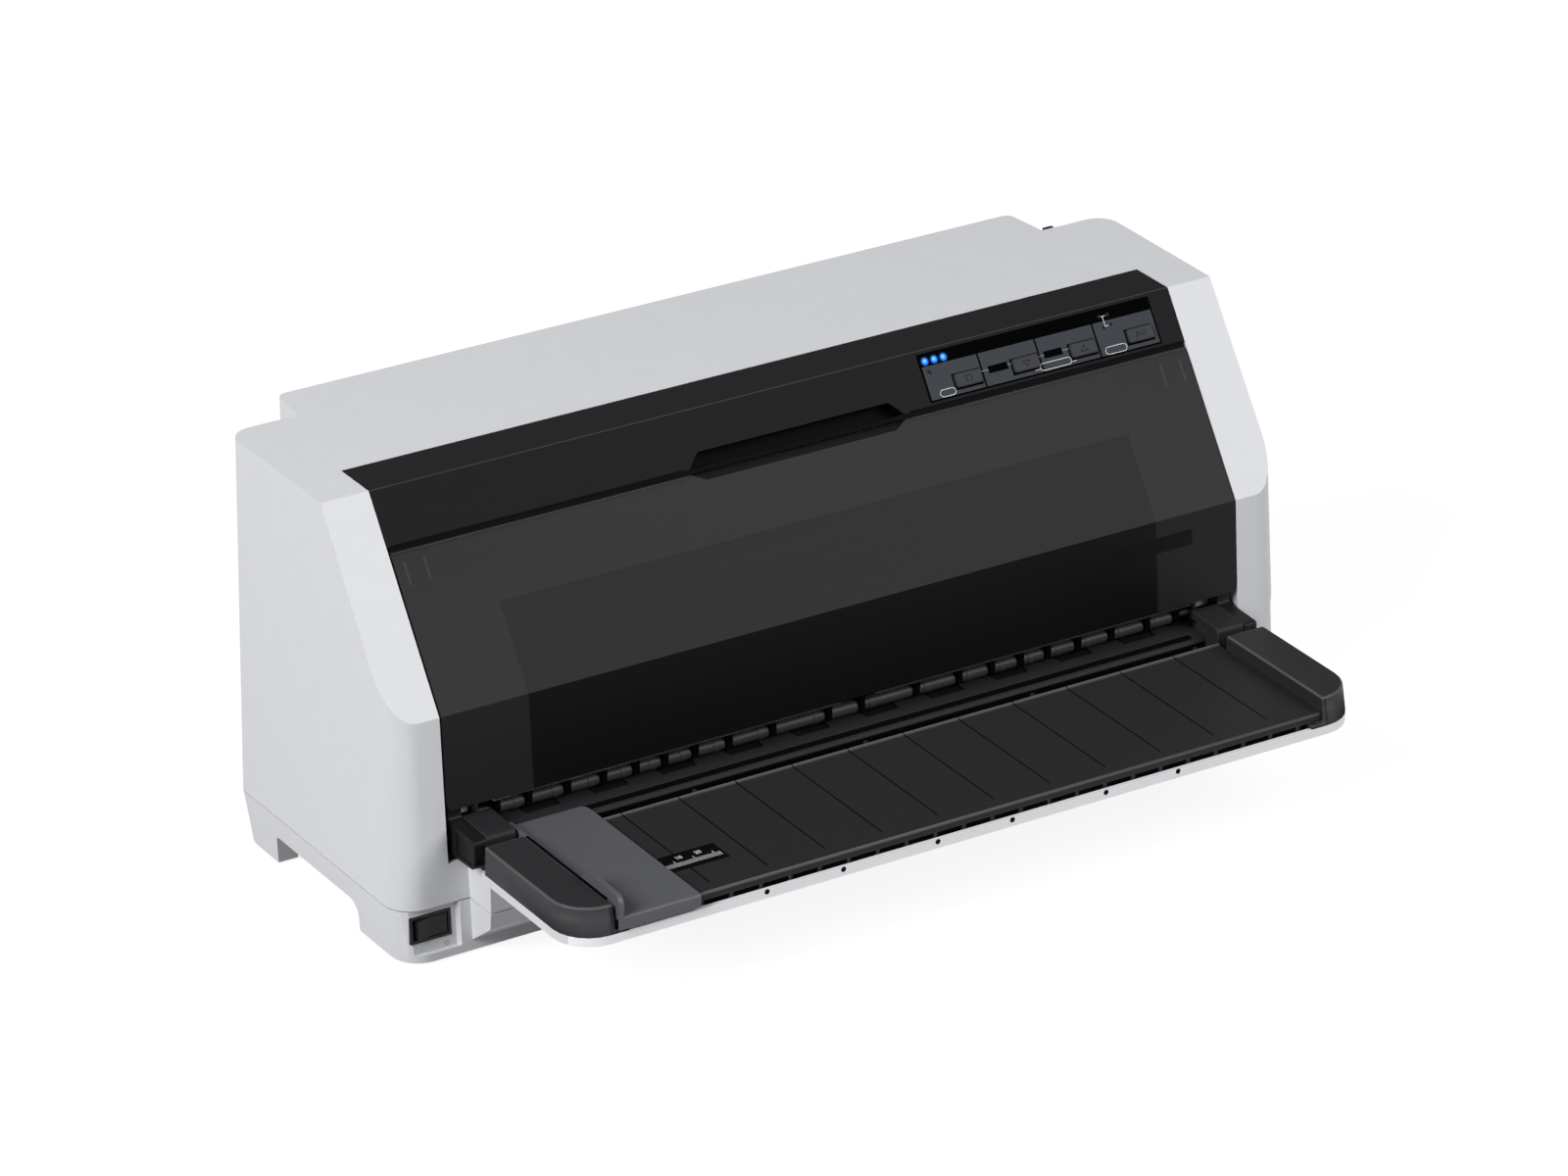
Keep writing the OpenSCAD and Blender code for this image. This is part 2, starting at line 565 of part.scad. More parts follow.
// ---- paper tray ----
bead_h = 0.8;                                // bead along the rear edge of the tray plate
vent_pitch = 19.6;
slot_half = plate_half - 9;
function vent_x(i) = i * vent_pitch + 10.5;
tray_front = -tray_reach;
lip_y = tray_front + 3.6;                    // front face of the lip between the end blocks
module tray_outline(inset, back, set = 0) {
    h = tray_half - inset;
    f = tray_front + inset + 0.6 + set;
    polygon(rounded([[-h, back, 2], [-h, f, tray_corner_r], [h, f, tray_corner_r], [h, back, 2]]));
}
groove_xs = [for (i = [-5:5]) 18.1 + groove_pitch * i];
module tray_plate() color("#2c2c2e") {
    difference() {
        union() {
            difference() {
                // blocks with leaning faces
                hull() {
                    translate([0, 0, shell_top]) linear_extrude(eps) tray_outline(-0.6, block_back_y);
                    translate([0, 0, block_top - eps]) linear_extrude(eps) tray_outline(0, block_back_y, 2.4);
                }
                box(-plate_half, plate_half, tray_front - 1, 0, path_z, block_top + 1);
                // hollow underside
                translate([0, 0, shell_top - 1]) linear_extrude(path_z - plate_t - shell_top + 1)
                    tray_outline(plate_t, block_back_y + 1);
                both() box(plate_half + plate_t, tray_half - plate_t, tray_front + tray_corner_r,
                    block_back_y - plate_t,
                    path_z - plate_t - 1, block_top - plate_t);
            }
            // front lip, set back between the end blocks
            box(-plate_half - 1, plate_half + 1, lip_y, lip_y + 4, shell_top - 3, path_z - eps);
            both() box(plate_half, plate_half + plate_t, tray_front + 2.5, lip_y + 4, shell_top, path_z);
            box(-plate_half, plate_half, block_back_y - 1, tray_back_y, path_z - plate_t, path_z);
            box(-plate_half, plate_half, tray_back_y - 2, tray_back_y, path_z - 5, path_z + bead_h);
        }
        box(-plate_half, plate_half, tray_front - 1, lip_y, lip_z - 0.6, path_z + 1);
        box(-slot_half, slot_half, tray_front - 1, lip_y, shell_top - 1, lip_z);
        // slots under the lip
        for (i = [-12:11]) box(max(-slot_half, vent_x(i) + 2), min(slot_half, vent_x(i + 1)),
            lip_y - 1, lip_y + 1.6, shell_top - 2, lip_z);
        for (x = groove_xs) if (abs(x) < plate_half - 3) {
            translate([x, (tray_front + tray_back_y) / 2 + 6, path_z]) rotate([0, 45, 0])
                cube([0.7, tray_reach + tray_back_y - 12, 0.7], center = true);
            box(x - 0.6, x + 0.6, tray_back_y - 3, tray_back_y + 1, path_z, path_z + 2);
        }
        box(-plate_half - 1, scale_right + 0.3, scale_y0 - 0.3, scale_y1 + 0.3, path_z - 0.4, path_z + 1);
    }
}
scale_right = -plate_half + 95.2;
scale_y0 = -107;
scale_y1 = -88;
module tray_scale() color("#0c0c0d")
    box(-plate_half + 0.3, scale_right, scale_y0, scale_y1, path_z - 0.4, path_z);
module tray_shell() color("#dadbdf") {
    difference() {
        union() {
            translate([0, 0, shell_z]) linear_extrude(shell_top - shell_z) tray_outline(-0.6, -35.6);
            hull() {
                translate([0, 0, shell_z - eps]) linear_extrude(eps) tray_outline(-0.6, -35.6);
                translate([0, 0, shell_z - 8]) linear_extrude(eps) tray_outline(34, -35.6);
            }
        }
        translate([0, 0, shell_z]) linear_extrude(20) tray_outline(2.2, -38);
        hull() {
            translate([0, 0, shell_z]) linear_extrude(eps) tray_outline(3, -38);
            translate([0, 0, shell_z - 5.8]) linear_extrude(eps) tray_outline(36, -38);
        }
        for (x = [-143.8, -92.6, -28.6, 22.6, 87.8, 138.6]) translate([x, tray_front + 4, shell_top - 1.4])
            rotate([90, 0, 0]) cylinder(r = 1.2, h = 6, $fn = 24);
    }
    // two hooks that hang the tray on the apron
    both() box(apron_half - 94, apron_half - 74, -38, apron_y - 0.02, shell_z - 6, shell_z - 2);
}
guide_out = -plate_half + 2;
module edge_guide() color("#55565b") {
    z0 = path_z + 0.1;
    z1 = path_z + 2.6;
    front = tray_front - skirt;
    over_bead = [[tray_back_y - 3, z0, 0], [tray_back_y - 3, path_z + bead_h + 0.3, 0],
        [tray_back_y + 1, path_z + bead_h + 0.3, 0], [tray_back_y + 1, z0, 0]];
    skirt_back = [[front, path_z - 5.6, 0], [tray_front + 0.3, path_z - 5.6, 0], [tray_front + 0.3, z0, 0]];
    intersection() {
        union() {
            // plate and front skirt in one section, with a rounded front edge
            along_x(guide_out, guide_out + guide_w) polygon(rounded([[-12, z0, 0], [-12, z1, 2.3],
                [front, z1, 2], each skirt_back, each over_bead]));
            // fence with its hump
            along_x(guide_out, guide_out + 2.8) polygon(rounded([[-12, z0, 0], [-13, path_z + 6.5, 4],
                [-97, path_z + 7.4, 4], [-105, path_z + guide_hump, 5], [front, path_z + guide_hump - 0.6, 7],
                each skirt_back, each over_bead]));
        }
        // plan with a round corner at the rear
        translate([0, 0, path_z - 8]) linear_extrude(30) polygon(rounded([[guide_out - 1, -11, 0],
            [guide_out + guide_w, -11, 9], [guide_out + guide_w, front - 1, 0],
            [guide_out - 1, front - 1, 0]]));
    }
}

// ---- power switch ----
module rocker_housing() color("#1d1d1f") on_front(switch_z, switch_x) difference() {
    translate([-switch_w / 2 + 0.2, -switch_h / 2 + 0.2, -21]) cube([switch_w - 0.4, switch_h - 0.4, 18.2]);
    translate([-switch_w / 2 + 2, -switch_h / 2 + 2, -14]) cube([switch_w - 4, switch_h - 4, 14]);
    translate([0, switch_h / 2 - 0.6, -8]) rotate([90, 0, 0])
        cylinder(r = 1.5 + running, h = switch_h - 1.2);
}
rocker_tilt = 7;
module power_rocker() color("#2e2e30") on_front(switch_z, switch_x) translate([0, 0, -8])
    rotate([0, rocker_tilt, 0]) {
    w = switch_w - 7;
    rotate([90, 0, 0]) translate([0, 0, -switch_h / 2 + 2.5]) linear_extrude(switch_h - 5)
        polygon([[-w / 2, -1], [w / 2, -1], [w / 2, 6.4], [0, 4.9], [-w / 2, 6.4]]);
    translate([0, switch_h / 2 - 0.8, 0]) rotate([90, 0, 0]) cylinder(r = 1.5, h = switch_h - 1.6);
}

// ---- chassis ----
module chassis_floor() color("#a9adb2") {
    difference() {
        box(-frame_in, frame_in, 12, frame_back_y, floor_z, floor_z + 1.6);
        for (x = [-120, 0, 120]) box(x - 30, x + 30, case_d - 70, case_d - 40, floor_z - 1, floor_z + 3);
    }
    // legs down to the floor of the lower case
    both() for (y = [22, frame_back_y - 22]) for (x = [60, frame_in - 20])
        translate([x, y, 20 + wall]) cylinder(r = 6, h = floor_z - 20 - wall);
}
module side_frames() color("#b3b7bc") {
    difference() {
        both() along_x(frame_in, frame_out)
            polygon(rounded([[frame_front_y, floor_z, 0], [frame_back_y, floor_z, 3],
            [frame_back_y, rod_z + 16, 12], [112, rod_z + 34, 8], [70, rod_z + 34, 8], [24, rod_z + 22, 6],
            [frame_front_y, path_z + 18.5, 4]]));
        both() {
            bore(roller_y, roller_z, 3 + running);
            bore(rear_roller_y, roller_z, 3 + running);
            bore(rear_roller_y, pinch_z, 2 + running);
            bore(roller_y, pinch_z, 2 + running);
            bore(tractor_y, tractor_z, journal_r + running);
            bore(tractor_rod_y, tractor_rod_z, 4);
            bore(rod_y, rod_z, rod_r);
        }
        both() along_x(frame_in - 1, frame_out + 1) plate_window();
    }
    // axles of the two idler gears
    for (p = [idler_a, idler_b]) rod_x(-gear_out - 2, -frame_in - frame_t / 2, p[0], p[1], 3);
    // shelves for the belt drive
    difference() {
        both() box(pulley_x - 17, frame_in + eps, belt_y - 20, belt_y + 20, shelf_z, shelf_z + 1.6);
        translate([-pulley_x, belt_y, shelf_z - 1]) cylinder(r = 4, h = 4);
    }
    translate([pulley_x, belt_y, shelf_z + 1]) cylinder(r = 2, h = 13);
}
module bore(y, z, r) { rod_x(frame_in - 1, frame_out + 1, y, z, r); }
module plate_window() {
    polygon(rounded([[110, path_z + 12.5, 6], [case_d - 40, path_z + 12.5, 6], [case_d - 40,
        path_z + 26.5, 6], [118, path_z + 30.5, 6]]));
}
module rod_pair(y, z, r, reach) { rod_x(-reach, reach, y, z, r); }
module carriage_rod() color("#c9ccd0") rod_pair(rod_y, rod_z, rod_r, frame_out + 1.5);
module tractor_rod() color("#c9ccd0") rod_pair(tractor_rod_y, tractor_rod_z, 4, frame_out + 1.5);
module carriage_rail() color("#a9adb2") along_x(-frame_in, frame_in)
    polygon([[28, rod_z - 12.1], [44, rod_z - 12.1], [44, rod_z - 13.7], [29.6, rod_z - 13.7],
        [29.6, rod_z - 24], [28, rod_z - 24]]);

// ---- gears ----
// a gear drawn in (y, z) about the origin: straight-flanked teeth, the first one at the angle turn
module gear_outline(teeth, turn) {
    r = teeth / 2;
    step = 360 / teeth;
    polygon([for (i = [0:teeth - 1]) each [
        (r - 1.15) * [cos(turn + (i - 0.30) * step), sin(turn + (i - 0.30) * step)],
        (r + 0.85) * [cos(turn + (i - 0.11) * step), sin(turn + (i - 0.11) * step)],
        (r + 0.85) * [cos(turn + (i + 0.11) * step), sin(turn + (i + 0.11) * step)],
        (r - 1.15) * [cos(turn + (i + 0.30) * step), sin(turn + (i + 0.30) * step)]]]);
}
// the point at distance rp from p and rq from q, on the lower side of the line between them
function meet(p, rp, q, rq) =
    let (d = norm(q - p), a = (rp * rp - rq * rq + d * d) / (2 * d), h = sqrt(max(0, rp * rp - a * a)),
        u = (q - p) / d)
    p + a * u + h * [u[1], -u[0]];
function bearing(p, q) = atan2(q[1] - p[1], q[0] - p[0]);
// turn of a gear with n2 teeth at q that meshes with a gear of n1 teeth at p, turned by t1
function mesh(p, n1, t1, q, n2) =
    let (a = bearing(p, q)) a + 180 - (0.5 - (a - t1) * n1 / 360) * 360 / n2;
roller_teeth = 24;
front_axis = [roller_y, roller_z];
rear_axis = [rear_roller_y, roller_z];
tractor_axis = [tractor_y, tractor_z];
pin_wheel_r = path_z - tractor_z - 1;
tractor_teeth = round(roller_teeth * pin_wheel_r / roller_r);
idler_a_teeth = ceil(rear_roller_y - roller_y - roller_teeth) + 1;
idler_b_teeth = ceil(norm(tractor_axis - rear_axis) - roller_teeth / 2 - tractor_teeth / 2) + 1;
pinion_teeth = 16;
idler_a = meet(front_axis, (roller_teeth + idler_a_teeth) / 2, rear_axis,
    (roller_teeth + idler_a_teeth) / 2);
idler_b = meet(rear_axis, (roller_teeth + idler_b_teeth) / 2, tractor_axis,
    (tractor_teeth + idler_b_teeth) / 2);
motor_reach = (pinion_teeth + idler_b_teeth) / 2;
motor_axis = idler_b + motor_reach * [cos(52), sin(52)];
front_turn = 0;
idler_a_turn = mesh(front_axis, roller_teeth, front_turn, idler_a, idler_a_teeth);
rear_turn = mesh(idler_a, idler_a_teeth, idler_a_turn, rear_axis, roller_teeth);
idler_b_turn = mesh(rear_axis, roller_teeth, rear_turn, idler_b, idler_b_teeth);
tractor_turn = mesh(idler_b, idler_b_teeth, idler_b_turn, tractor_axis, tractor_teeth);
motor_turn = mesh(idler_b, idler_b_teeth, idler_b_turn, motor_axis, pinion_teeth);
gear_in = frame_out + 2;
gear_out = gear_in + gear_w;
module gear_at(p, teeth, turn) {
    translate([-gear_out, p[0], p[1]]) rotate([90, 0, 90]) linear_extrude(gear_w) gear_outline(teeth, turn);
}
module idler_gear(p, teeth, turn) color("#e6e6e0") difference() {
    gear_at(p, teeth, turn);
    rod_x(-gear_out - 1, -gear_in + 1, p[0], p[1], 3 + running);
    // thin web between hub and rim
    difference() {
        rod_x(-gear_out - 1, -gear_out + 1.5, p[0], p[1], teeth / 2 - 4);
        rod_x(-gear_out - 2, -gear_out + 2, p[0], p[1], 6);
    }
}
module front_idler_gear() idler_gear(idler_a, idler_a_teeth, idler_a_turn);
module rear_idler_gear() idler_gear(idler_b, idler_b_teeth, idler_b_turn);
module feed_motor() color("#4b4d52") {
    x0 = -gear_out - 3;
    rod_x(x0 - 34, x0, motor_axis[0], motor_axis[1], 18);
    box(x0 - 2, x0, motor_axis[0] - 20, motor_axis[0] + 20, motor_axis[1] - 19, motor_axis[1] + 19);
    rod_x(x0 - eps, -gear_in, motor_axis[0], motor_axis[1], 2);
    // two posts that fix it to the side frame
    for (y = [-17, 17]) rod_x(x0 - eps, -frame_out, motor_axis[0] + y, motor_axis[1] + 16, 2.5);
}
module feed_pinion() color("#c8a24a") difference() {
    gear_at(motor_axis, pinion_teeth, motor_turn);
    rod_x(-gear_out - 1, -gear_in + 1, motor_axis[0], motor_axis[1], 2 + running);
}

// ---- rollers and guides ----
roller_xs = [for (i = [0:4]) 24 + (frame_in - 19) / 5 * i];
module feed_roller(y, turn) {
    rod_x(-gear_out, frame_out + 1.5, y, roller_z, 3);
    both() for (x = roller_xs) rod_x(x - 11, x + 11, y, roller_z, roller_r);
    gear_at([y, roller_z], roller_teeth, turn);
}
module front_feed_roller() color("#26262a") feed_roller(roller_y, front_turn);
module rear_feed_roller() color("#26262a") feed_roller(rear_roller_y, rear_turn);
// places of the roller holders, as shares of the half width between the frames
holder_places = [0.046, 0.201, 0.322, 0.415, 0.498, 0.576, 0.664, 0.761, 0.865, 0.95];
holder_xs = [for (p = holder_places) p * frame_in];
holder_w = 3.8;
module front_pinch_rollers() color("#17171a") {
    rod_pair(roller_y, pinch_z, 2, frame_out + 1);
    // one roller between each two holders, with a collar
    rod_pair(roller_y, pinch_z, pinch_r, holder_xs[0] - holder_w / 2 - 0.6);
    both() for (i = [0:8]) {
        rod_x(holder_xs[i] + holder_w / 2 + 0.6, holder_xs[i + 1] - holder_w / 2 - 0.6, roller_y,
            pinch_z, pinch_r - 0.3);
        rod_x(holder_xs[i] + holder_w / 2 + 4, holder_xs[i] + holder_w / 2 + 8, roller_y, pinch_z, pinch_r);
    }
}
module rear_pinch_rollers() color("#17171a") {
    rod_pair(rear_roller_y, pinch_z, 2, frame_out + 1);
    both() for (x = roller_xs) rod_x(x - 9, x + 9, rear_roller_y, pinch_z, pinch_r);
}
holder_top = path_z + 15.2;
module pinch_holder() color("#1f1f22") difference() {
    union() {
        along_x(-frame_in + 0.1, frame_in - 0.1)
            polygon([[3, holder_top - 2], [3, holder_top], [26, holder_top],
            [26, path_z + 2.5], [23, path_z + 2.5], [23, holder_top - 2]]);
        both() for (x = holder_xs) along_x(x - holder_w / 2, x + holder_w / 2)
            polygon(rounded([[3.6, path_z + 2.2, 1],
            [24, path_z + 2.2, 0], [24, holder_top - 1, 0], [3.6, holder_top - 1, 0]]));
    }
    rod_pair(roller_y, pinch_z, 2 + running, frame_in);
}
tear_y = -3.2;
module tear_bar() color("#8f9297") {
    tooth = 2;
    count = floor(2 * (frame_in - 6) / tooth);
    x0 = -count * tooth / 2;
    translate([0, 0, holder_top]) linear_extrude(0.8) difference() {
        polygon([[x0, 14], [x0, tear_y + 1.4], each [for (i = [0:count - 1]) each [
            [x0 + i * tooth, tear_y + 1.4], [x0 + (i + 0.5) * tooth, tear_y]]], [x0 + count * tooth,
                tear_y + 1.4],
            [x0 + count * tooth, 14]]);
        // the two halves meet beside the middle
        translate([-8, tear_y - 1]) square([24, 4]);
    }
}
module windows(y) {
    both() for (x = roller_xs) box(x - 12, x + 12, y - roller_r - 0.8, y + roller_r + 0.8, path_z - 12,
        path_z + 1);
}
module front_guide() color("#303034") difference() {
    union() {
        // bed under the sheet, from the tray to the platen
        along_x(-frame_in + 0.1, frame_in - 0.1)
            polygon([[frame_front_y, path_z - 0.4], [frame_front_y, path_z - 2.4], [49.5, path_z - 2.4],
            [49.5, path_z - 0.4]]);
        along_x(-plate_half, plate_half)
            polygon(rounded([[frame_front_y + 1, path_z - 0.4, 0], [frame_front_y + 1, path_z - 2.4, 0],
            [0, path_z - 2.4, 0], [-3, path_z - 4, 0], [-3, apron_top, 0], [-6, apron_top, 0], [-6,
                path_z - 6, 0],
            [-17, path_z - 9, 2], [-17, path_z - 1.5, 3], [-9, path_z + 0.4, 4]]));
        // gutter between the guide and the tray, with one thin rib
        along_x(-plate_half, plate_half)
            polygon([[-16, path_z - 9], [-29, path_z - 9], [-29, path_z - 8], [-23, path_z - 8], [-23,
            path_z - 4],
            [-22, path_z - 4], [-22, path_z - 8], [-16, path_z - 8]]);
        for (i = [-2:2]) box(i * (plate_half - 8) / 2 - 1, i * (plate_half - 8) / 2 + 1, -29, -16,
            path_z - 9, path_z - 5);
    }
    windows(roller_y);
}
module platen() color("#35363a")
    box(-frame_in + 0.05, frame_in - 0.05, 50, 68, path_z - 13.5, path_z - 0.1);
module rear_guide() color("#303034") difference() {
    union() {
        along_x(-frame_in + 0.1, frame_in - 0.1)
            polygon([[68.5, path_z - 0.4], [68.5, path_z - 2.4], [tractor_rod_y - 15, path_z - 2.4],
            [tractor_rod_y - 15, path_z - 0.4]]);
        both() box(rear_half - 34, frame_in - 0.1, tractor_rod_y - 16, frame_back_y, path_z - 2.4,
            path_z - 0.4);
        box(-rear_half + 1, rear_half - 1, case_d - 14, case_d + 6, path_z - 2.4, path_z - 0.4);
        box(-rear_half + 1, rear_half - 1, case_d + 4, case_d + 6, path_z - 8, path_z - 0.4);
    }
    windows(rear_roller_y);
}

// ---- tractors ----
tractor_low = path_z - 21.5;
module tractor_shaft() color("#b9bcc1") {
    rod_x(-gear_out, frame_out + 1.5, tractor_y, tractor_z, journal_r);
    box(-frame_in + 2, frame_in - 2, tractor_y - 3.9, tractor_y + 3.9, tractor_z - 3.9, tractor_z + 3.9);
    gear_at(tractor_axis, tractor_teeth, tractor_turn);
}
module tractor_body(x) color("#3a3b3f") difference() {
    union() {
        for (d = [-tractor_w / 2, 4.5]) along_x(x + d, x + d + tractor_w / 2 - 4.5)
            polygon(rounded([[tractor_rod_y - 10, tractor_low, 4], [tractor_y + 14, tractor_low, 4],
                [tractor_y + 14, path_z - 0.6, 3], [tractor_rod_y - 10, path_z - 0.6, 3]]));
        box(x - 5, x + 5, tractor_rod_y - 8, tractor_rod_y + 12, tractor_low + 1, tractor_low + 5);
        // ears that carry the door
        for (y = [tractor_rod_y - 8, tractor_y + 10])
            box(door_x(x) - 2, door_x(x) + 2, y, y + 3, path_z - 1, path_z + 6);
    }
    rod_x(x - tractor_w, x + tractor_w, tractor_y, tractor_z, 8 + running);
    rod_x(x - tractor_w, x + tractor_w, tractor_rod_y, tractor_rod_z, 4 + running);
    along_y(door_x(x), path_z + 3.4, 1.5 + running, tractor_rod_y - 12, tractor_y + 17);
}
function side(x) = x < 0 ? -1 : 1;
function door_x(x) = x + side(x) * 10;       // hinge of a tractor's door, on its outer side
module along_y(x, z, r, y0, y1) { translate([x, y0, z]) rotate([-90, 0, 0]) cylinder(r = r, h = y1 - y0); }
module pin_wheel(x) color("#d8d8d2") difference() {
    union() {
        rod_x(x - tractor_w / 2 - 1, x + tractor_w / 2 + 1, tractor_y, tractor_z, 8);
        rod_x(x - 4, x + 4, tractor_y, tractor_z, pin_wheel_r);
        for (a = [0:60:300]) translate([x, tractor_y, tractor_z]) rotate([a, 0, 0])
            cylinder(r = 1.8, h = pin_wheel_r + 2);
    }
    box(x - tractor_w, x + tractor_w, tractor_y - 3.95, tractor_y + 3.95, tractor_z - 3.95,
        tractor_z + 3.95);
}
module tractor_door(x) color("#3f4045") difference() {
    union() {
        translate([x - side(x) * 0.5 - 10.5, tractor_rod_y - 4, path_z + 1.8]) cube([21, 39, 2.8]);
        along_y(door_x(x), path_z + 3.4, 1.5, tractor_rod_y - 9.5, tractor_y + 14.5);
    }
    box(x - 3, x + 3, tractor_y - 18, tractor_y + 10, path_z, path_z + 3.4);
}
module left_tractor() tractor_body(-tractor_x);
module right_tractor() tractor_body(tractor_x);
module left_pin_wheel() pin_wheel(-tractor_x);
module right_pin_wheel() pin_wheel(tractor_x);
module left_tractor_door() tractor_door(-tractor_x);
module right_tractor_door() tractor_door(tractor_x);

// ---- carriage ----
belt_low = belt_z - belt_w / 2;
module carriage() color("#3a3c40") difference() {
    union() {
        box(-carriage_w / 2, carriage_w / 2, 72, 90.6, rod_z - 11, rod_z + 9);
        both() box(24, carriage_w / 2, 34, 73, rod_z - 12, rod_z);
        box(-carriage_w / 2, carriage_w / 2, 34, 42, rod_z - 12, rod_z);
        // clamp on the front run of the belt
        box(-10, 10, 88, belt_y - pulley_r - 1.4, rod_z + 8, belt_z + 5);
        box(-10, 10, belt_y - pulley_r + 0.3, belt_y - pulley_r + 2, belt_low - 1.5, belt_z + 5);
        box(-10, 10, 88, belt_y - pulley_r + 2, belt_low - 2.5, belt_low - 0.5);
    }
    rod_x(-carriage_w, carriage_w, rod_y, rod_z, rod_r + running);
}
module print_head() color("#54565b") {
    box(-24, 24, 46, 72, rod_z - 9, rod_z - 4);
    box(-18, 18, 50, 70, rod_z - 22, rod_z - 8.5);
    translate([0, platen_y, path_z + 2.6]) cylinder(r1 = 5, r2 = 9, h = 15);
    // cooling fins
    for (i = [0:6]) box(-20, 20, 48 + 3.5 * i, 49.4 + 3.5 * i, rod_z - 4.5, rod_z + 20);
    box(-16, 16, 48, 70, rod_z - 4.5, rod_z + 14);
}
module ribbon_mask() color("#c9ccd0") difference() {
    union() {
        box(-22, 22, 49.4, 70, path_z + 0.9, path_z + 1.2);
        box(-12, 12, 49.4, 50, path_z + 0.9, rod_z - 10);
    }
    box(-4, 4, 56, 62, path_z, path_z + 2);
}
module carriage_motor() color("#4b4d52") translate([-pulley_x, belt_y, 0]) {
    translate([0, 0, shelf_z - 32]) cylinder(r = 16, h = 32);
    translate([0, 0, shelf_z - eps]) cylinder(r = 2, h = 13);
}
module pulley(x) color("#d8d8d2") translate([x, belt_y, 0]) difference() {
    union() {
        translate([0, 0, belt_low - 1.6]) cylinder(r = pulley_r + 2.4, h = 1.4);
        translate([0, 0, belt_low - 0.5]) cylinder(r = pulley_r, h = belt_w + 1);
        translate([0, 0, belt_low + belt_w + 0.2]) cylinder(r = pulley_r + 2.4, h = 1.4);
    }
    translate([0, 0, belt_low - 3]) cylinder(r = x < 0 ? 2 : 2 + running, h = 20);
}
module motor_pulley() pulley(-pulley_x);
module idler_pulley() pulley(pulley_x);
module stadium(r) {
    square([2 * pulley_x, 2 * r], center = true);
    for (x = [-pulley_x, pulley_x]) translate([x, 0]) circle(r = r);
}
module carriage_belt() color("#1a1a1c") translate([0, belt_y, belt_low]) linear_extrude(belt_w)
    difference() {
    stadium(pulley_r + 1.25);
    stadium(pulley_r + 0.05);
}

// ---- ribbon ----
cartridge_half = frame_in - 13;
module ribbon_cartridge() color("#1c1c1f") {
    difference() {
        union() {
            box(-cartridge_half, cartridge_half, 6, 32, rod_z - 9, rod_z + 14);
            both() along_x(cartridge_half - 22, cartridge_half)
                polygon(rounded([[30, rod_z - 12.05, 0], [46.5, rod_z - 12.05, 0],
                [46.5, path_z + 4, 2], [52, path_z + 1.4, 0], [66, path_z + 1.4, 0], [70, path_z + 4,
                    2], [70, rod_z, 5],
                [30, rod_z + 4, 0]]));
        }
        translate([knob_x, 19, knob_z]) cylinder(r = 2 + running, h = 7);
        // the ribbon comes out of one arm and goes into the other
        box(-cartridge_half + 16, cartridge_half - 16, 52, 66, path_z + 1.3, path_z + 2.3);
    }
}
knob_x = -150;
knob_z = rod_z + 8;
module ribbon() color("#0a0a0b")
    box(-cartridge_half + 16.5, cartridge_half - 16.5, 52.8, 65.2, path_z + 1.7, path_z + 1.85);
module ribbon_knob() color("#2f6fb0") translate([knob_x, 19, 0]) {
    translate([0, 0, knob_z + 0.5]) cylinder(r = 2, h = 7);
    difference() {
        translate([0, 0, knob_z + 6.2]) cylinder(r = 9, h = 6);
        for (a = [0:30:330]) rotate([0, 0, a]) translate([9.6, 0, knob_z + 5])
            cylinder(r = 1.4, h = 9, $fn = 24);
    }
    translate([0, 0, knob_z + 12 - eps]) rotate([0, 0, 35]) translate([-8, -1.2, 0]) cube([16, 2.4, 3]);
}

// ---- rear ----
module release_lever() color("#1d1d1f") {
    along_x(lever_x - 3, lever_x + 3)
        polygon(rounded([[lever_y - 4, lever_z - 6, 2], [lever_y + 4, lever_z - 6, 2],
        [lever_y + 3.5, lever_z + 10, 3], [case_d + 5, case_h - 8, 3], [case_d + 5.2, case_h - 0.4, 1.5],
        [case_d + 1, case_h - 0.4, 1.5], [case_d + 0.9, case_h - 9, 3], [lever_y - 3.5, lever_z + 8, 3]]));
    rod_x(lever_x - 6, lever_x + 6, lever_y, lever_z, 2);
}
module rear_door() color("#d9dade") {
    difference() {
        box(-rear_half + 1.2, rear_half - 1.2, case_d - 2.6, case_d - 0.1, door_low_z, door_axis_z + 4);
        for (i = [-9:9]) box(i * 24 - 8, i * 24 + 8, case_d - 3, case_d + 1, door_low_z + 22,
            door_low_z + 25);
    }
    both() {
        box(rear_half - 4, rear_half - 1.2, case_d - 10.5, case_d - 2, door_axis_z - 3.5,
            door_axis_z + 3.5);
        rod_x(rear_half - 3, rear_half + 4.5, case_d - 7.5, door_axis_z, 2);
    }
    // finger lip along the lower edge
    box(-60, 60, case_d - 2.6, case_d + 2.4, door_low_z, door_low_z + 2.4);
}
module power_supply() color("#b9bcc1") {
    box(-frame_in + 11, board_x0 - 20, 24, case_d - 82, floor_z + 1.6, floor_z + 18);
    box(inlet_x - 10, inlet_x + 10, case_d - 83, case_d - 20, floor_z + 4, floor_z + 12);
    difference() {
        box(inlet_x - 13.6, inlet_x + 13.6, case_d - 22, case_d + 1.5, seam_z + 5.4, seam_z + 24.6);
        box(inlet_x - 10.6, inlet_x + 10.6, case_d - 14, case_d + 2, seam_z + 8.4, seam_z + 21.6);
    }
    for (i = [-1:1]) box(inlet_x + 6 * i - 1.2, inlet_x + 6 * i + 1.2, case_d - 16, case_d - 4,
        seam_z + 13, seam_z + 17);
}
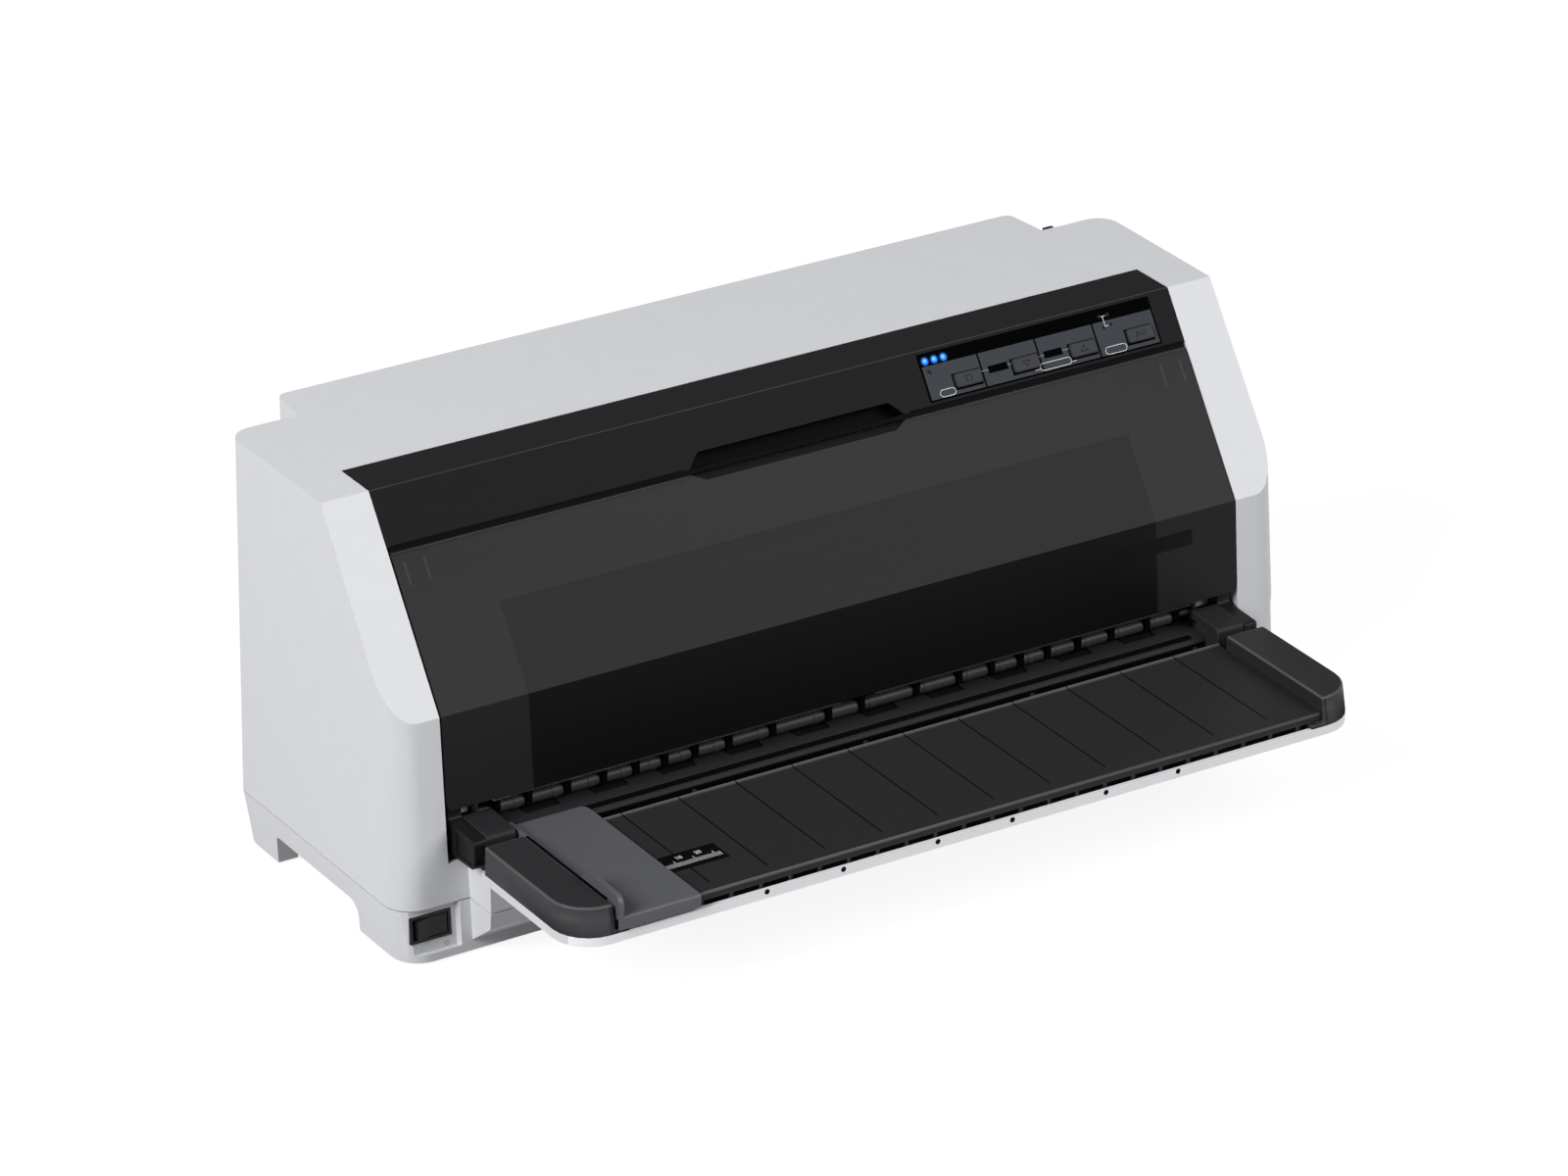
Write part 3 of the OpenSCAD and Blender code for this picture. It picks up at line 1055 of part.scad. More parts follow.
module main_board() color("#2f6b3a") {
    z = floor_z + 5;
    x0 = board_x0;
    x1 = frame_in - 17;
    screws = [for (x = [x0 + 10, (x0 + x1) / 2, x1 - 10]) for (y = [34, case_d - 78]) [x, y]];
    difference() {
        box(x0, x1, 26, case_d - 5, z, z + 1.6);
        for (p = screws) translate([p[0], p[1], z - 1]) cylinder(r = 1.6, h = 4, $fn = 24);
    }
    for (p = screws) translate([p[0], p[1], floor_z + 1.6]) difference() {
        cylinder(r = 3, h = z - floor_z - 1.6);
        cylinder(r = 1.6, h = 5, $fn = 24);
    }
    // chips, capacitors and sockets
    for (p = [[60, 60, 28, 14], [110, 56, 34, 34], [170, 60, 22, 10], [210, 76, 26, 26]])
        box(x0 + p[0], x0 + p[0] + p[2], p[1], p[1] + p[3], z + 1.5, z + 5);
    for (x = [x0 + 30, x0 + 50, x1 - 32]) translate([x, 44, z + 1.5]) cylinder(r = 6, h = 9);
    box(port_x - 27, port_x + 27, case_d - 14, case_d + 0.5, z + 1.5, seam_z + 18.5);
    box(plug_x - 5.5, plug_x + 5.5, case_d - 14, case_d + 0.5, z + 1.5, seam_z + 18);
}

seat() lower_case();
seat() upper_case();
seat() control_bar();
seat() key_panel();
seat() lamp_lenses();
seat() key_board();
seat() key(0);  // key_tear_off
seat() key(1);  // key_line_feed
seat() key(2);  // key_load
seat() key(3);  // key_pause
seat() front_cover();
seat() cover_pins();
seat() hinge_blocks();
seat() tray_plate();
seat() tray_shell();
seat() tray_scale();
seat() edge_guide();
seat() power_rocker();
seat() rocker_housing();
seat() rubber_pads();
seat() case_screws();
seat() chassis_floor();
seat() side_frames();
seat() front_guide();
seat() rear_guide();
seat() platen();
seat() tear_bar();
seat() pinch_holder();
seat() front_pinch_rollers();
seat() rear_pinch_rollers();
seat() front_feed_roller();
seat() rear_feed_roller();
seat() tractor_shaft();
seat() front_idler_gear();
seat() rear_idler_gear();
seat() feed_motor();
seat() feed_pinion();
seat() carriage_rod();
seat() carriage_rail();
seat() carriage();
seat() print_head();
seat() ribbon_mask();
seat() carriage_motor();
seat() motor_pulley();
seat() idler_pulley();
seat() carriage_belt();
seat() ribbon_cartridge();
seat() ribbon();
seat() ribbon_knob();
seat() left_tractor();
seat() right_tractor();
seat() left_pin_wheel();
seat() right_pin_wheel();
seat() left_tractor_door();
seat() right_tractor_door();
seat() tractor_rod();
seat() release_lever();
seat() rear_door();
seat() power_supply();
seat() main_board();
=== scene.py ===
import math

import bmesh
import bpy
import numpy as np
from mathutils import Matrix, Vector


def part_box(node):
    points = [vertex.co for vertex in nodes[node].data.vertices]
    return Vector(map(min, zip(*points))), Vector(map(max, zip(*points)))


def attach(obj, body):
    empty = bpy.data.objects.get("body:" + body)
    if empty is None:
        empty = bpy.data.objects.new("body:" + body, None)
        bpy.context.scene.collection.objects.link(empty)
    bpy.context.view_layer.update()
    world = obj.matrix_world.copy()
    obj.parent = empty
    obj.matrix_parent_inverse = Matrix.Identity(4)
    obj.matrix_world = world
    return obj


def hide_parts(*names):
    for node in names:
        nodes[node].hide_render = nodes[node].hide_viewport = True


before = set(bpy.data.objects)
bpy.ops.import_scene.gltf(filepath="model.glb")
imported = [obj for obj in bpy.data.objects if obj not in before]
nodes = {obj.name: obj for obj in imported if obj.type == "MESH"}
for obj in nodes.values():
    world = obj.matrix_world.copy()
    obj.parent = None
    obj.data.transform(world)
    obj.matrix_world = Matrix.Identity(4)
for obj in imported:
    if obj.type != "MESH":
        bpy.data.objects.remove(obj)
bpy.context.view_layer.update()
print("stage: frame loaded")

# the case in metres; its knee is the edge between the lower front face and the slope above it
mm = 0.001
place = {
    "kneeY": -0.0401, "kneeZ": 0.1495, "caseH": 0.261, "setback": 0.077,
    "frontLean": 0.011, "pathZ": 0.0735,
}
kneeUp = place["kneeZ"] / mm
slopeTurn = math.atan2(place["caseH"] - place["kneeZ"], place["setback"])
frontTurn = math.atan2(place["frontLean"], place["kneeZ"])


def onSlope(x, s, out=0.0):  # x across, s up the slope from the knee, out from its face, all in mm
    y = s * math.cos(slopeTurn) - out * math.sin(slopeTurn)
    z = s * math.sin(slopeTurn) + out * math.cos(slopeTurn)
    return (x * mm, place["kneeY"] + y * mm, place["kneeZ"] + z * mm)


def onFront(x, z, out=0.0):  # x across, z above the table, out from the lower front face, all in mm
    y = -(kneeUp - z) * math.tan(frontTurn) - out * math.cos(frontTurn)
    return (x * mm, place["kneeY"] + y * mm, (z + out * math.sin(frontTurn)) * mm)


def onTray(x, y, out=0.0):  # x across, y from the knee, out above the tray plate, all in mm
    return (x * mm, place["kneeY"] + y * mm, place["pathZ"] + out * mm)


def linear(code, alpha=1.0):
    parts = [int(code[i:i + 2], 16) / 255 for i in (0, 2, 4)]
    return tuple(c / 12.92 if c <= 0.04045 else ((c + 0.055) / 1.055) ** 2.4 for c in parts) + (alpha,)


def addNode(tree, kind, **values):
    n = tree.nodes.new(kind)
    for key, value in values.items():
        if key in n.inputs:
            n.inputs[key].default_value = value
        else:
            setattr(n, key, value)
    return n


def spotOf(tree):  # the place on the object, whole and as its X, Y and Z
    spot = addNode(tree, "ShaderNodeTexCoord").outputs["Object"]
    split = addNode(tree, "ShaderNodeSeparateXYZ")
    tree.links.new(spot, split.inputs["Vector"])
    return spot, split.outputs


def worked(tree, operation, first, second=0.0):  # the second value is a socket or a number
    n = addNode(tree, "ShaderNodeMath", operation=operation)
    tree.links.new(first, n.inputs[0])
    if isinstance(second, float):
        n.inputs[1].default_value = second
    else:
        tree.links.new(second, n.inputs[1])
    return n.outputs["Value"]


def mixed(tree, share, first, second):
    blend = addNode(tree, "ShaderNodeMix", data_type="RGBA")
    blend.inputs[6].default_value = first
    blend.inputs[7].default_value = second
    tree.links.new(share, blend.inputs[0])
    return blend.outputs[2]


# relief: how high the surface texture stands, in metres; cloud: the size in mm of the colour's drift
texture = {"relief": 0.0001, "detail": 2.0, "rough": 0.55, "cloud": 14, "cloudDetail": 3.0}


# a plastic, rubber or metal: grain is the size of its surface texture in mm, depth how strong it reads,
# vary how much its colour drifts from place to place
def surface(name, code, rough, metal=0.0, grain=0.0, depth=0.0, spec=0.5, vary=0.05):
    mat = bpy.data.materials.new(name)
    mat.use_nodes = True
    tree = mat.node_tree
    shader = tree.nodes["Principled BSDF"]
    shader.inputs["Base Color"].default_value = linear(code)
    shader.inputs["Roughness"].default_value = rough
    shader.inputs["Metallic"].default_value = metal
    shader.inputs["Specular IOR Level"].default_value = spec
    if grain:
        spot = addNode(tree, "ShaderNodeTexCoord")
        noise = addNode(tree, "ShaderNodeTexNoise", Scale=1.0 / (grain * mm), Detail=texture["detail"],
                        Roughness=texture["rough"])
        bump = addNode(tree, "ShaderNodeBump", Strength=depth, Distance=texture["relief"])
        tree.links.new(spot.outputs["Object"], noise.inputs["Vector"])
        tree.links.new(noise.outputs["Fac"], bump.inputs["Height"])
        tree.links.new(bump.outputs["Normal"], shader.inputs["Normal"])
        cloud = addNode(tree, "ShaderNodeTexNoise", Scale=1.0 / (texture["cloud"] * mm),
                        Detail=texture["cloudDetail"])
        tree.links.new(spot.outputs["Object"], cloud.inputs["Vector"])
        duller = tuple(c * (1 - vary) for c in linear(code)[:3]) + (1.0,)
        drift = mixed(tree, cloud.outputs["Fac"], linear(code), duller)
        tree.links.new(drift, shader.inputs["Base Color"])
    return mat


# the raised frame that stiffens the lid from within: half its width and its height up the slope in mm
stiffener = {"half": 217.0, "up": 55.5, "alpha": 0.97, "grain": 0.9, "depth": 0.12}


# a dark clear plastic: what lies behind shows faintly, and the sheet is darker inside the stiffener
def smoked(name, inner, outer, rough, spec):
    mat = surface(name, inner, rough, spec=spec, grain=stiffener["grain"], depth=stiffener["depth"])
    tree = mat.node_tree
    shader = tree.nodes["Principled BSDF"]
    spot, split = spotOf(tree)
    up = addNode(tree, "ShaderNodeVectorMath", operation="DOT_PRODUCT")
    up.inputs[1].default_value = (0, math.cos(slopeTurn), math.sin(slopeTurn))
    tree.links.new(spot, up.inputs[0])
    knee = place["kneeY"] * math.cos(slopeTurn) + place["kneeZ"] * math.sin(slopeTurn)
    inside = worked(tree, "LESS_THAN", worked(tree, "ABSOLUTE", split["X"]), stiffener["half"] * mm)
    low = worked(tree, "LESS_THAN", up.outputs["Value"], knee + stiffener["up"] * mm)
    tone = mixed(tree, worked(tree, "MULTIPLY", inside, low), linear(outer), linear(inner))
    tree.links.new(tone, shader.inputs["Base Color"])
    shader.inputs["Alpha"].default_value = stiffener["alpha"]
    return mat


def glowing(name, code, glow, power):
    mat = surface(name, code, 0.4, spec=0.05)
    shader = mat.node_tree.nodes["Principled BSDF"]
    shader.inputs["Emission Color"].default_value = linear(glow)
    shader.inputs["Emission Strength"].default_value = power
    return mat


# the lenses are one moulding: those of the three lit lamps, left of edge and above line, glow
def lensRow(name, code, glow, power, edge, line):
    mat = glowing(name, code, glow, power)
    tree = mat.node_tree
    split = spotOf(tree)[1]
    left = worked(tree, "LESS_THAN", split["X"], edge * mm)
    above = worked(tree, "GREATER_THAN", split["Z"], line)
    strength = worked(tree, "MULTIPLY", worked(tree, "MULTIPLY", left, above), power)
    tree.links.new(strength, tree.nodes["Principled BSDF"].inputs["Emission Strength"])
    return mat


# the circuit board with the sockets soldered to its rear edge: green lacquer, and dark plastic from back on
def boardWithSockets(name, code, sockets, back):
    mat = surface(name, code, 0.35)
    tree = mat.node_tree
    behind = worked(tree, "GREATER_THAN", spotOf(tree)[1]["Y"], back)
    tone = mixed(tree, behind, linear(code), linear(sockets))
    tree.links.new(tone, tree.nodes["Principled BSDF"].inputs["Base Color"])
    return mat


litLine = onSlope(0, 125.2)[2]  # the height above which the lit lenses lie
socketLine = place["kneeY"] + 175.8 * mm  # the front edge of the rear sockets
look = {
    # ABS with a fine moulded grain, light and matt: broad soft highlights; the base is a touch darker, the
    # rim's front face is painted a touch paler as painted light
    "caseAbs": surface("mouldedCaseAbs", "dbdcdf", 0.45, grain=0.35, depth=0.10, spec=0.3),
    "lowerAbs": surface("mouldedLowerAbs", "d9dade", 0.45, grain=0.35, depth=0.10, spec=0.3),
    "rimPaintedLight": surface("mouldedRimPaintedLight", "fbfcff", 0.45, grain=0.35, depth=0.10, spec=0.3),
    # the same plastic in black: charcoal where its grain scatters the light, deeper on the smoother bar
    "blackAbs": surface("mouldedBlackAbs", "29292b", 0.42, grain=0.3, depth=0.12, spec=0.12),
    "barAbs": surface("mouldedBarAbs", "18181a", 0.36, grain=0.3, depth=0.05, spec=0.04),
    # the bar's top: a lighter copy of the same black, painted light
    "barTopPaintedLight": surface("mouldedBarTopPaintedLight", "232325", 0.42, grain=0.3, depth=0.05, spec=0.1),
    "trayAbs": surface("mouldedTrayAbs", "2c2c2d", 0.45, grain=0.35, depth=0.15, spec=0.1),
    "innerAbs": surface("mouldedInnerAbs", "2b2b2d", 0.5, grain=0.35, depth=0.1, spec=0.1),
    "blockAbs": surface("mouldedBlockAbs", "303032", 0.45, grain=0.35, depth=0.12, spec=0.12),
    # the blocks' sides: a lighter copy, painted light where the light falls on them
    "blockSidePaintedLight": surface("mouldedBlockSidePaintedLight", "414143", 0.5, grain=0.35, depth=0.12, spec=0.1),
    # black plastic of the ribbon cartridge and pinch holder; the same black is painted shade in gaps and
    # recesses, so they read as black lines and holes
    "blackAndShade": surface("blackAbsAndPaintedShade", "070708", 0.6, spec=0.05),
    # the guide's mid grey and the keys' dark grey stand off from the black round them
    "guideAbs": surface("mouldedGuideAbs", "595a5f", 0.4, grain=0.3, depth=0.08, spec=0.35),
    "keyAbs": surface("mouldedKeyAbs", "343538", 0.45, grain=0.25, depth=0.08, spec=0.15),
    # painted highlights: lighter copies on the tray's bead and rounded edges, thin light lines on dark forms
    "beadHighlight": surface("beadPaintedHighlight", "606062", 0.35, grain=0.3, depth=0.05, spec=0.3),
    "barGloss": surface("barEdgePaintedHighlight", "3c3c3e", 0.35, grain=0.3, depth=0.05, spec=0.2),
    "trayGloss": surface("trayEdgePaintedHighlight", "565658", 0.4, grain=0.3, depth=0.05, spec=0.15),
    "guideGloss": surface("guideEdgePaintedHighlight", "8e8f94", 0.35, grain=0.3, depth=0.05, spec=0.4),
    # smoked polycarbonate: near black, a hint of what lies behind; its low front face gets a copy with less
    # sheen and a greyer colour, painted light for how that face is lit; what touches it from within shows as a
    # faint lighter shape
    "smokedPc": smoked("smokedPolycarbonate", "0b0b0c", "1c1c1d", 0.3, 0.11),
    "smokedFrontPaintedLight": smoked("smokedPolycarbonateFrontPaintedLight", "111112", "262627", 0.35, 0.07),
    # the same grey also paints a highlight along the lid's top edge
    "clipShapeAndHighlight": surface("smokedClipShapeAndHighlight", "2a2a2b", 0.3, spec=0.12),
    # printed polyester film: flat grey and flat black without highlights; the black also paints
    # the shade round the keys
    "panelFilm": surface("printedPanelFilm", "404449", 0.55, spec=0.04),
    "blackFilmAndShade": surface("printedBlackFilmAndKeyShade", "030304", 0.6, spec=0.01),
    # the scale's black film, also painted as the shade of a slot seen through the lid
    "scaleFilmAndShade": surface("printedScaleFilmAndSlotShade", "0a0a0b", 0.45, spec=0.08),
    # screen-print inks, crisp on the film; the moulded marks get a grey that is painted shade of their flanks
    "whiteInk": surface("whitePrintInk", "e9eaec", 0.5, spec=0.2),
    "paleInk": surface("greyPrintInk", "9a9da2", 0.5, spec=0.2),
    "markShade": surface("mouldedMarkPaintedShade", "8b8d92", 0.5, spec=0.2),
    # clear lamp lenses: lit from behind they fade from a pale core to a deep blue edge, unlit they are dark
    "litHalo": glowing("litBlueHalo", "020c20", "063c8c", 0.8),
    "litBlue": glowing("litBlueLens", "001c46", "0a8cff", 1.0),
    "litCore": glowing("litBlueCore", "2c5c80", "86d4ff", 0.95),
    "darkLens": surface("unlitLens", "232429", 0.4, spec=0.05),
    "lensRow": lensRow("lampLensRow", "1c1e22", "8ad8ff", 1.0, 116.0, litLine),
    # polished black rocker plastic: a small sharp highlight
    "switchPlastic": surface("glossBlackSwitch", "1c1c1e", 0.3, spec=0.2),
    # rubbers: dull and dark on pads and feed rollers, a ground sheen on the pinch rollers
    "padRubber": surface("mouldedPadRubber", "29292b", 0.8, grain=0.5, depth=0.2),
    "rollerRubber": surface("groundRollerRubber", "404144", 0.45, grain=0.4, depth=0.15, spec=0.4),
    "feedRubber": surface("mattFeedRubber", "0b0b0c", 0.8, grain=0.5, depth=0.15, spec=0.1),
    # metals: soft grey zinc sheet, bright ground rods, painted motor cans, yellow brass
    "zincSteel": surface("zincPlatedSheet", "a9adb2", 0.38, metal=1.0, grain=1.5, depth=0.05),
    "groundSteel": surface("groundSteelRod", "c4c7cb", 0.22, metal=1.0),
    "darkSteel": surface("paintedMotorSteel", "3f4146", 0.45, grain=0.4, depth=0.08),
    "brass": surface("hobbedBrass", "b9933f", 0.3, metal=1.0),
    # the rest inside: waxy ivory acetal gears, green lacquered boards, a dull black ribbon, a blue knob
    "acetal": surface("naturalAcetal", "dedfd6", 0.38),
    "boardMask": boardWithSockets("greenSolderMask", "1f5b30", "25272b", socketLine),
    "nylonInk": surface("inkedNylonRibbon", "080809", 0.9),
    "winderBlue": surface("mouldedWinderBlue", "2a68ad", 0.4),
}
finishes = {
    "caseAbs": ["rear_door"],
    "guideAbs": ["left_tractor_door", "right_tractor_door"],
    "panelFilm": ["key_panel"],
    "boardMask": ["key_board", "main_board"],
    "lensRow": ["lamp_lenses"],
    "innerAbs": ["rear_guide", "platen", "carriage", "left_tractor", "right_tractor"],
    "groundSteel": ["cover_pins", "carriage_rod", "tractor_rod", "tractor_shaft", "ribbon_mask"],
    "padRubber": ["rubber_pads", "carriage_belt"],
    "scaleFilmAndShade": ["tray_scale"],
    "zincSteel": ["case_screws", "chassis_floor", "side_frames", "power_supply", "tear_bar"],
    "rollerRubber": ["front_pinch_rollers", "rear_pinch_rollers"],
    "feedRubber": ["front_feed_roller", "rear_feed_roller"],
    "acetal": ["front_idler_gear", "rear_idler_gear", "motor_pulley", "idler_pulley", "left_pin_wheel",
               "right_pin_wheel"],
    "darkSteel": ["feed_motor", "print_head", "carriage_motor", "carriage_rail"],
    "brass": ["feed_pinion"],
    "nylonInk": ["ribbon"],
    "winderBlue": ["ribbon_knob"],
    "blackAbs": ["release_lever"],
    "blackAndShade": ["ribbon_cartridge", "pinch_holder"],
    "switchPlastic": ["rocker_housing"],
}
for finish, names in finishes.items():
    for name in names:
        obj = nodes[name]
        obj.data.materials.clear()
        obj.data.materials.append(look[finish])
print("stage: CAD finishes")

softest = 2.5  # mm, the widest rounding of a placed edge


# a merged copy of a CAD node with its edges rounded; it stands for the node
# width: one size in mm, or a function of the edge's two ends in knee millimetres
def rounded(name, node, body, mat, width, edgeHighlight=None, segments=3, angle=28.0):
    mesh = nodes[node].data.copy()
    work = bmesh.new()
    work.from_mesh(mesh)
    bmesh.ops.remove_doubles(work, verts=work.verts, dist=1e-6)
    bmesh.ops.dissolve_limit(work, angle_limit=math.radians(0.4), verts=work.verts, edges=work.edges)
    placed = callable(width)
    if placed:
        layer = work.edges.layers.float.new("bevel_weight_edge")
        for e in work.edges:
            if len(e.link_faces) == 2 and e.calc_face_angle(0) > math.radians(angle):
                a, b = ((v.co - Vector((0, place["kneeY"], 0))) / mm for v in e.verts)
                e[layer] = width(a, b) / softest
    work.to_mesh(mesh)
    work.free()
    mesh.materials.clear()
    mesh.materials.append(look[mat])
    piece = bpy.data.objects.new(name, mesh)
    bpy.context.scene.collection.objects.link(piece)
    edge = piece.modifiers.new("softEdge", "BEVEL")
    edge.width = (softest if placed else width) * mm
    edge.segments = segments
    edge.limit_method = "WEIGHT" if placed else "ANGLE"
    edge.angle_limit = math.radians(angle)
    edge.use_clamp_overlap = not placed
    edge.harden_normals = True
    if edgeHighlight:  # the rounded edges get a lighter copy: a painted highlight
        mesh.materials.append(look[edgeHighlight])
        edge.material = 1
    for poly in mesh.polygons:
        poly.use_smooth = True
    if mesh.has_custom_normals:
        bpy.context.view_layer.objects.active = piece
        with bpy.context.temp_override(object=piece, active_object=piece):
            bpy.ops.mesh.customdata_custom_splitnormals_clear()
    mesh.set_sharp_from_angle(angle=math.radians(angle))
    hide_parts(node)
    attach(piece, body)
    return piece


# the tray's heights above the table and places from the knee, and how far its edges are rounded
tray = {"top": 83.0, "path": 73.5, "lip": -136.4, "block": 1.1, "front": 1.8, "other": 0.3,
        "groove": 2.2, "shortest": 2.6}
barRound = 0.35


def near(p, q, axis, value, reach=0.06):
    return abs(p[axis] - value) < reach and abs(q[axis] - value) < reach


def trayEdge(p, q):  # broad on the end blocks and along the front lip, none at the grooves
    if near(p, q, 2, tray["top"]):
        return tray["block"]
    if near(p, q, 2, tray["path"]) and near(p, q, 1, tray["lip"]):
        return tray["front"]
    if near(p, q, 2, tray["path"], tray["groove"]) or (p - q).length < tray["shortest"]:
        return 0.0
    return tray["other"]


def barEdge(p, q):  # the long edge between the slope and the top
    onTop = near(p, q, 2, place["caseH"] / mm) and near(p, q, 1, place["setback"] / mm)
    return barRound if onTop else 0.0


copies = {
    "upperShell": ("upper_case", "case", "caseAbs", 1.2),
    "lowerShell": ("lower_case", "case", "lowerAbs", 0.9),
    "controlBarShell": ("control_bar", "case", "barAbs", barEdge, "barGloss"),
    "hingeBlockPair": ("hinge_blocks", "case", "blackAbs", 0.8, "trayGloss"),
    "trayTop": ("tray_plate", "case", "trayAbs", trayEdge, "trayGloss"),
    "trayUnder": ("tray_shell", "case", "caseAbs", 0.5),
    "paperBed": ("front_guide", "case", "innerAbs", 0.3),
    "sideGuide": ("edge_guide", "guide", "guideAbs", 0.7, "guideGloss"),
    "frontLid": ("front_cover", "cover", "smokedPc", 0.4),
    "rockerCap": ("power_rocker", "rocker", "switchPlastic", 0.6),
    "tearOffKey": ("key_tear_off", "tear_off_key", "keyAbs", 0.4),
    "lineFeedKey": ("key_line_feed", "line_feed_key", "keyAbs", 0.4),
    "loadKey": ("key_load", "load_key", "keyAbs", 0.4),
    "pauseKey": ("key_pause", "pause_key", "keyAbs", 0.4),
}
pieces = {}
for name, made in copies.items():
    pieces[name] = rounded(name, *made)


# gives the faces that pass a test their own material; the test gets each face's middle in knee
# millimetres and its direction
def repaint(piece, mat, test):
    polys = piece.data.polygons
    middle, turned = np.empty(len(polys) * 3), np.empty(len(polys) * 3)
    polys.foreach_get("center", middle)
    polys.foreach_get("normal", turned)
    index = np.empty(len(polys), dtype=np.int32)
    polys.foreach_get("material_index", index)
    x, y, z = (middle.reshape(-1, 3) - (0, place["kneeY"], 0)).T / mm
    piece.data.materials.append(look[mat])
    index[test(x, y, z, turned.reshape(-1, 3))] = len(piece.data.materials) - 1
    polys.foreach_set("material_index", index)


def between(value, span):
    return (value > span[0]) & (value < span[1])


scoop = {"half": 80.0, "deep": (0.25, 25.0), "span": (84.0, 114.0), "ends": 0.2}
zone = {
    "barTop": 260.0, "blockX": 243.5, "blockZ": 68.3, "rimY": -100.0, "rimZ": 60.0,
    "grooveZ": (72.8, 73.45), "grooveX": 240.0, "footY": (-136.3, -134.6), "footZ": 68.4,
    "beadZ": (73.6, 74.5), "beadY": -32.3, "bedY": -15.5, "bedZ": 66.5, "bedFront": -18.0,
}
facing = {"straight": 0.95, "front": 0.9, "aside": 0.5}  # the least part of a face's direction


def inScoop(x, y, z, n):  # the finger scoop across the seam, counted up and into the slope; its faces on the bar get painted shade
    up = y * math.cos(slopeTurn) + (z - kneeUp) * math.sin(slopeTurn)
    deep = y * math.sin(slopeTurn) - (z - kneeUp) * math.cos(slopeTurn)
    return (np.abs(x) < scoop["half"]) & between(deep, scoop["deep"]) & between(up, scoop["span"])


# the bar's top faces, which get the lighter painted-light copy
def onBarTop(x, y, z, n):
    return (n[:, 2] > facing["straight"]) & (z > zone["barTop"])


# the end facets of the scoop in the lid, which get painted shade
def scoopEnds(x, y, z, n):
    return inScoop(x, y, z, n) & (np.abs(n[:, 0]) > scoop["ends"])


# the lid's low front face, which gets its own greyer copy
def lidFront(x, y, z, n):
    return n[:, 1] < -facing["front"]


def onBlock(x, y, z, n):  # the raised blocks at the ends of the tray
    return (np.abs(x) > zone["blockX"]) & (z > zone["blockZ"])


# the blocks' sides, which get the lighter painted-light copy
def blockSide(x, y, z, n):
    return onBlock(x, y, z, n) & (np.abs(n[:, 2]) < facing["aside"])


def paintedLightRim(x, y, z, n):  # the front face of the under-shell, painted paler as painted light
    return (n[:, 1] < -facing["aside"]) & (z > zone["rimZ"]) & (y < zone["rimY"])


# the flanks of the tray's grooves, which get painted shade
def grooveFlank(x, y, z, n):
    return between(z, zone["grooveZ"]) & (np.abs(n[:, 0]) > facing["aside"]) & (np.abs(x) < zone["grooveX"])


def lipFoot(x, y, z, n):  # where the black lip meets the rim: the wall behind the slots, painted shade
    return between(y, zone["footY"]) & (z < zone["footZ"])


def onBead(x, y, z, n):  # the raised bead at the back of the tray, painted lighter as a highlight
    return between(z, zone["beadZ"]) & (y > zone["beadY"])


def bedShade(x, y, z, n):  # the shaded front and foot of the bed's first rib
    facesFront = (n[:, 1] < -facing["straight"]) & (y > zone["bedFront"])
    return (y < zone["bedY"]) & ((z < zone["bedZ"]) | facesFront)


for name, mat, test in (
        ("controlBarShell", "blackAndShade", inScoop), ("controlBarShell", "barTopPaintedLight", onBarTop),
        ("frontLid", "blackAndShade", scoopEnds), ("frontLid", "smokedFrontPaintedLight", lidFront),
        ("trayTop", "blockAbs", onBlock), ("trayTop", "blockSidePaintedLight", blockSide),
        ("trayUnder", "rimPaintedLight", paintedLightRim), ("trayTop", "blackAndShade", grooveFlank),
        ("trayTop", "blackAndShade", lipFoot), ("trayTop", "beadHighlight", onBead), ("paperBed", "blackAndShade", bedShade)):
    repaint(pieces[name], mat, test)
print("stage: case pieces")


def newPiece(name, verts, faces, mat):
    mesh = bpy.data.meshes.new(name)
    mesh.from_pydata(verts, [], faces)
    mesh.materials.append(mat)
    piece = bpy.data.objects.new(name, mesh)
    bpy.context.scene.collection.objects.link(piece)
    return piece


# printed marks: flat shapes drawn in (across, up) mm and laid on a face by the function onto
def printed(name, body, mat, shapes, onto, out):
    verts, faces = [], []
    for shape in shapes:
        for ring in shape:
            faces.append(tuple(range(len(verts), len(verts) + len(ring))))
            verts += [onto(x, y, out) for x, y in ring]
    piece = newPiece(name, verts, faces, look[mat])
    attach(piece, body)


def rect(x0, y0, x1, y1):
    return [[(x0, y0), (x1, y0), (x1, y1), (x0, y1)]]


def stroke(points, width, closed=False):  # one rectangle per straight run, a little longer than the run
    rings = []
    pts = points + points[:1] if closed else points
    for (x0, y0), (x1, y1) in zip(pts, pts[1:]):
        run = math.hypot(x1 - x0, y1 - y0)
        ux, uy = (x1 - x0) / run * width / 2, (y1 - y0) / run * width / 2
        rings.append([(x0 - ux + uy, y0 - uy - ux), (x1 + ux + uy, y1 + uy - ux),
                      (x1 + ux - uy, y1 + uy + ux), (x0 - ux - uy, y0 - uy + ux)])
    return rings


def capsule(cx, cy, w, h, width, steps=10):  # the outline of a bar with round ends
    r = h / 2

    def edge(k):
        pts = []
        for side in (1, -1):
            for i in range(steps + 1):
                a = math.pi * (i / steps - 0.5)
                pts.append((cx + side * (w / 2 - r + k * math.cos(a)), cy + side * k * math.sin(a)))
        return pts

    outer, inner = edge(r), edge(r - width)
    n = len(outer)
    return [[outer[i], outer[(i + 1) % n], inner[(i + 1) % n], inner[i]] for i in range(n)]


def disc(cx, cy, r, steps=24):
    turns = [2 * math.pi * i / steps for i in range(steps)]
    return [[(cx + r * math.cos(a), cy + r * math.sin(a)) for a in turns]]


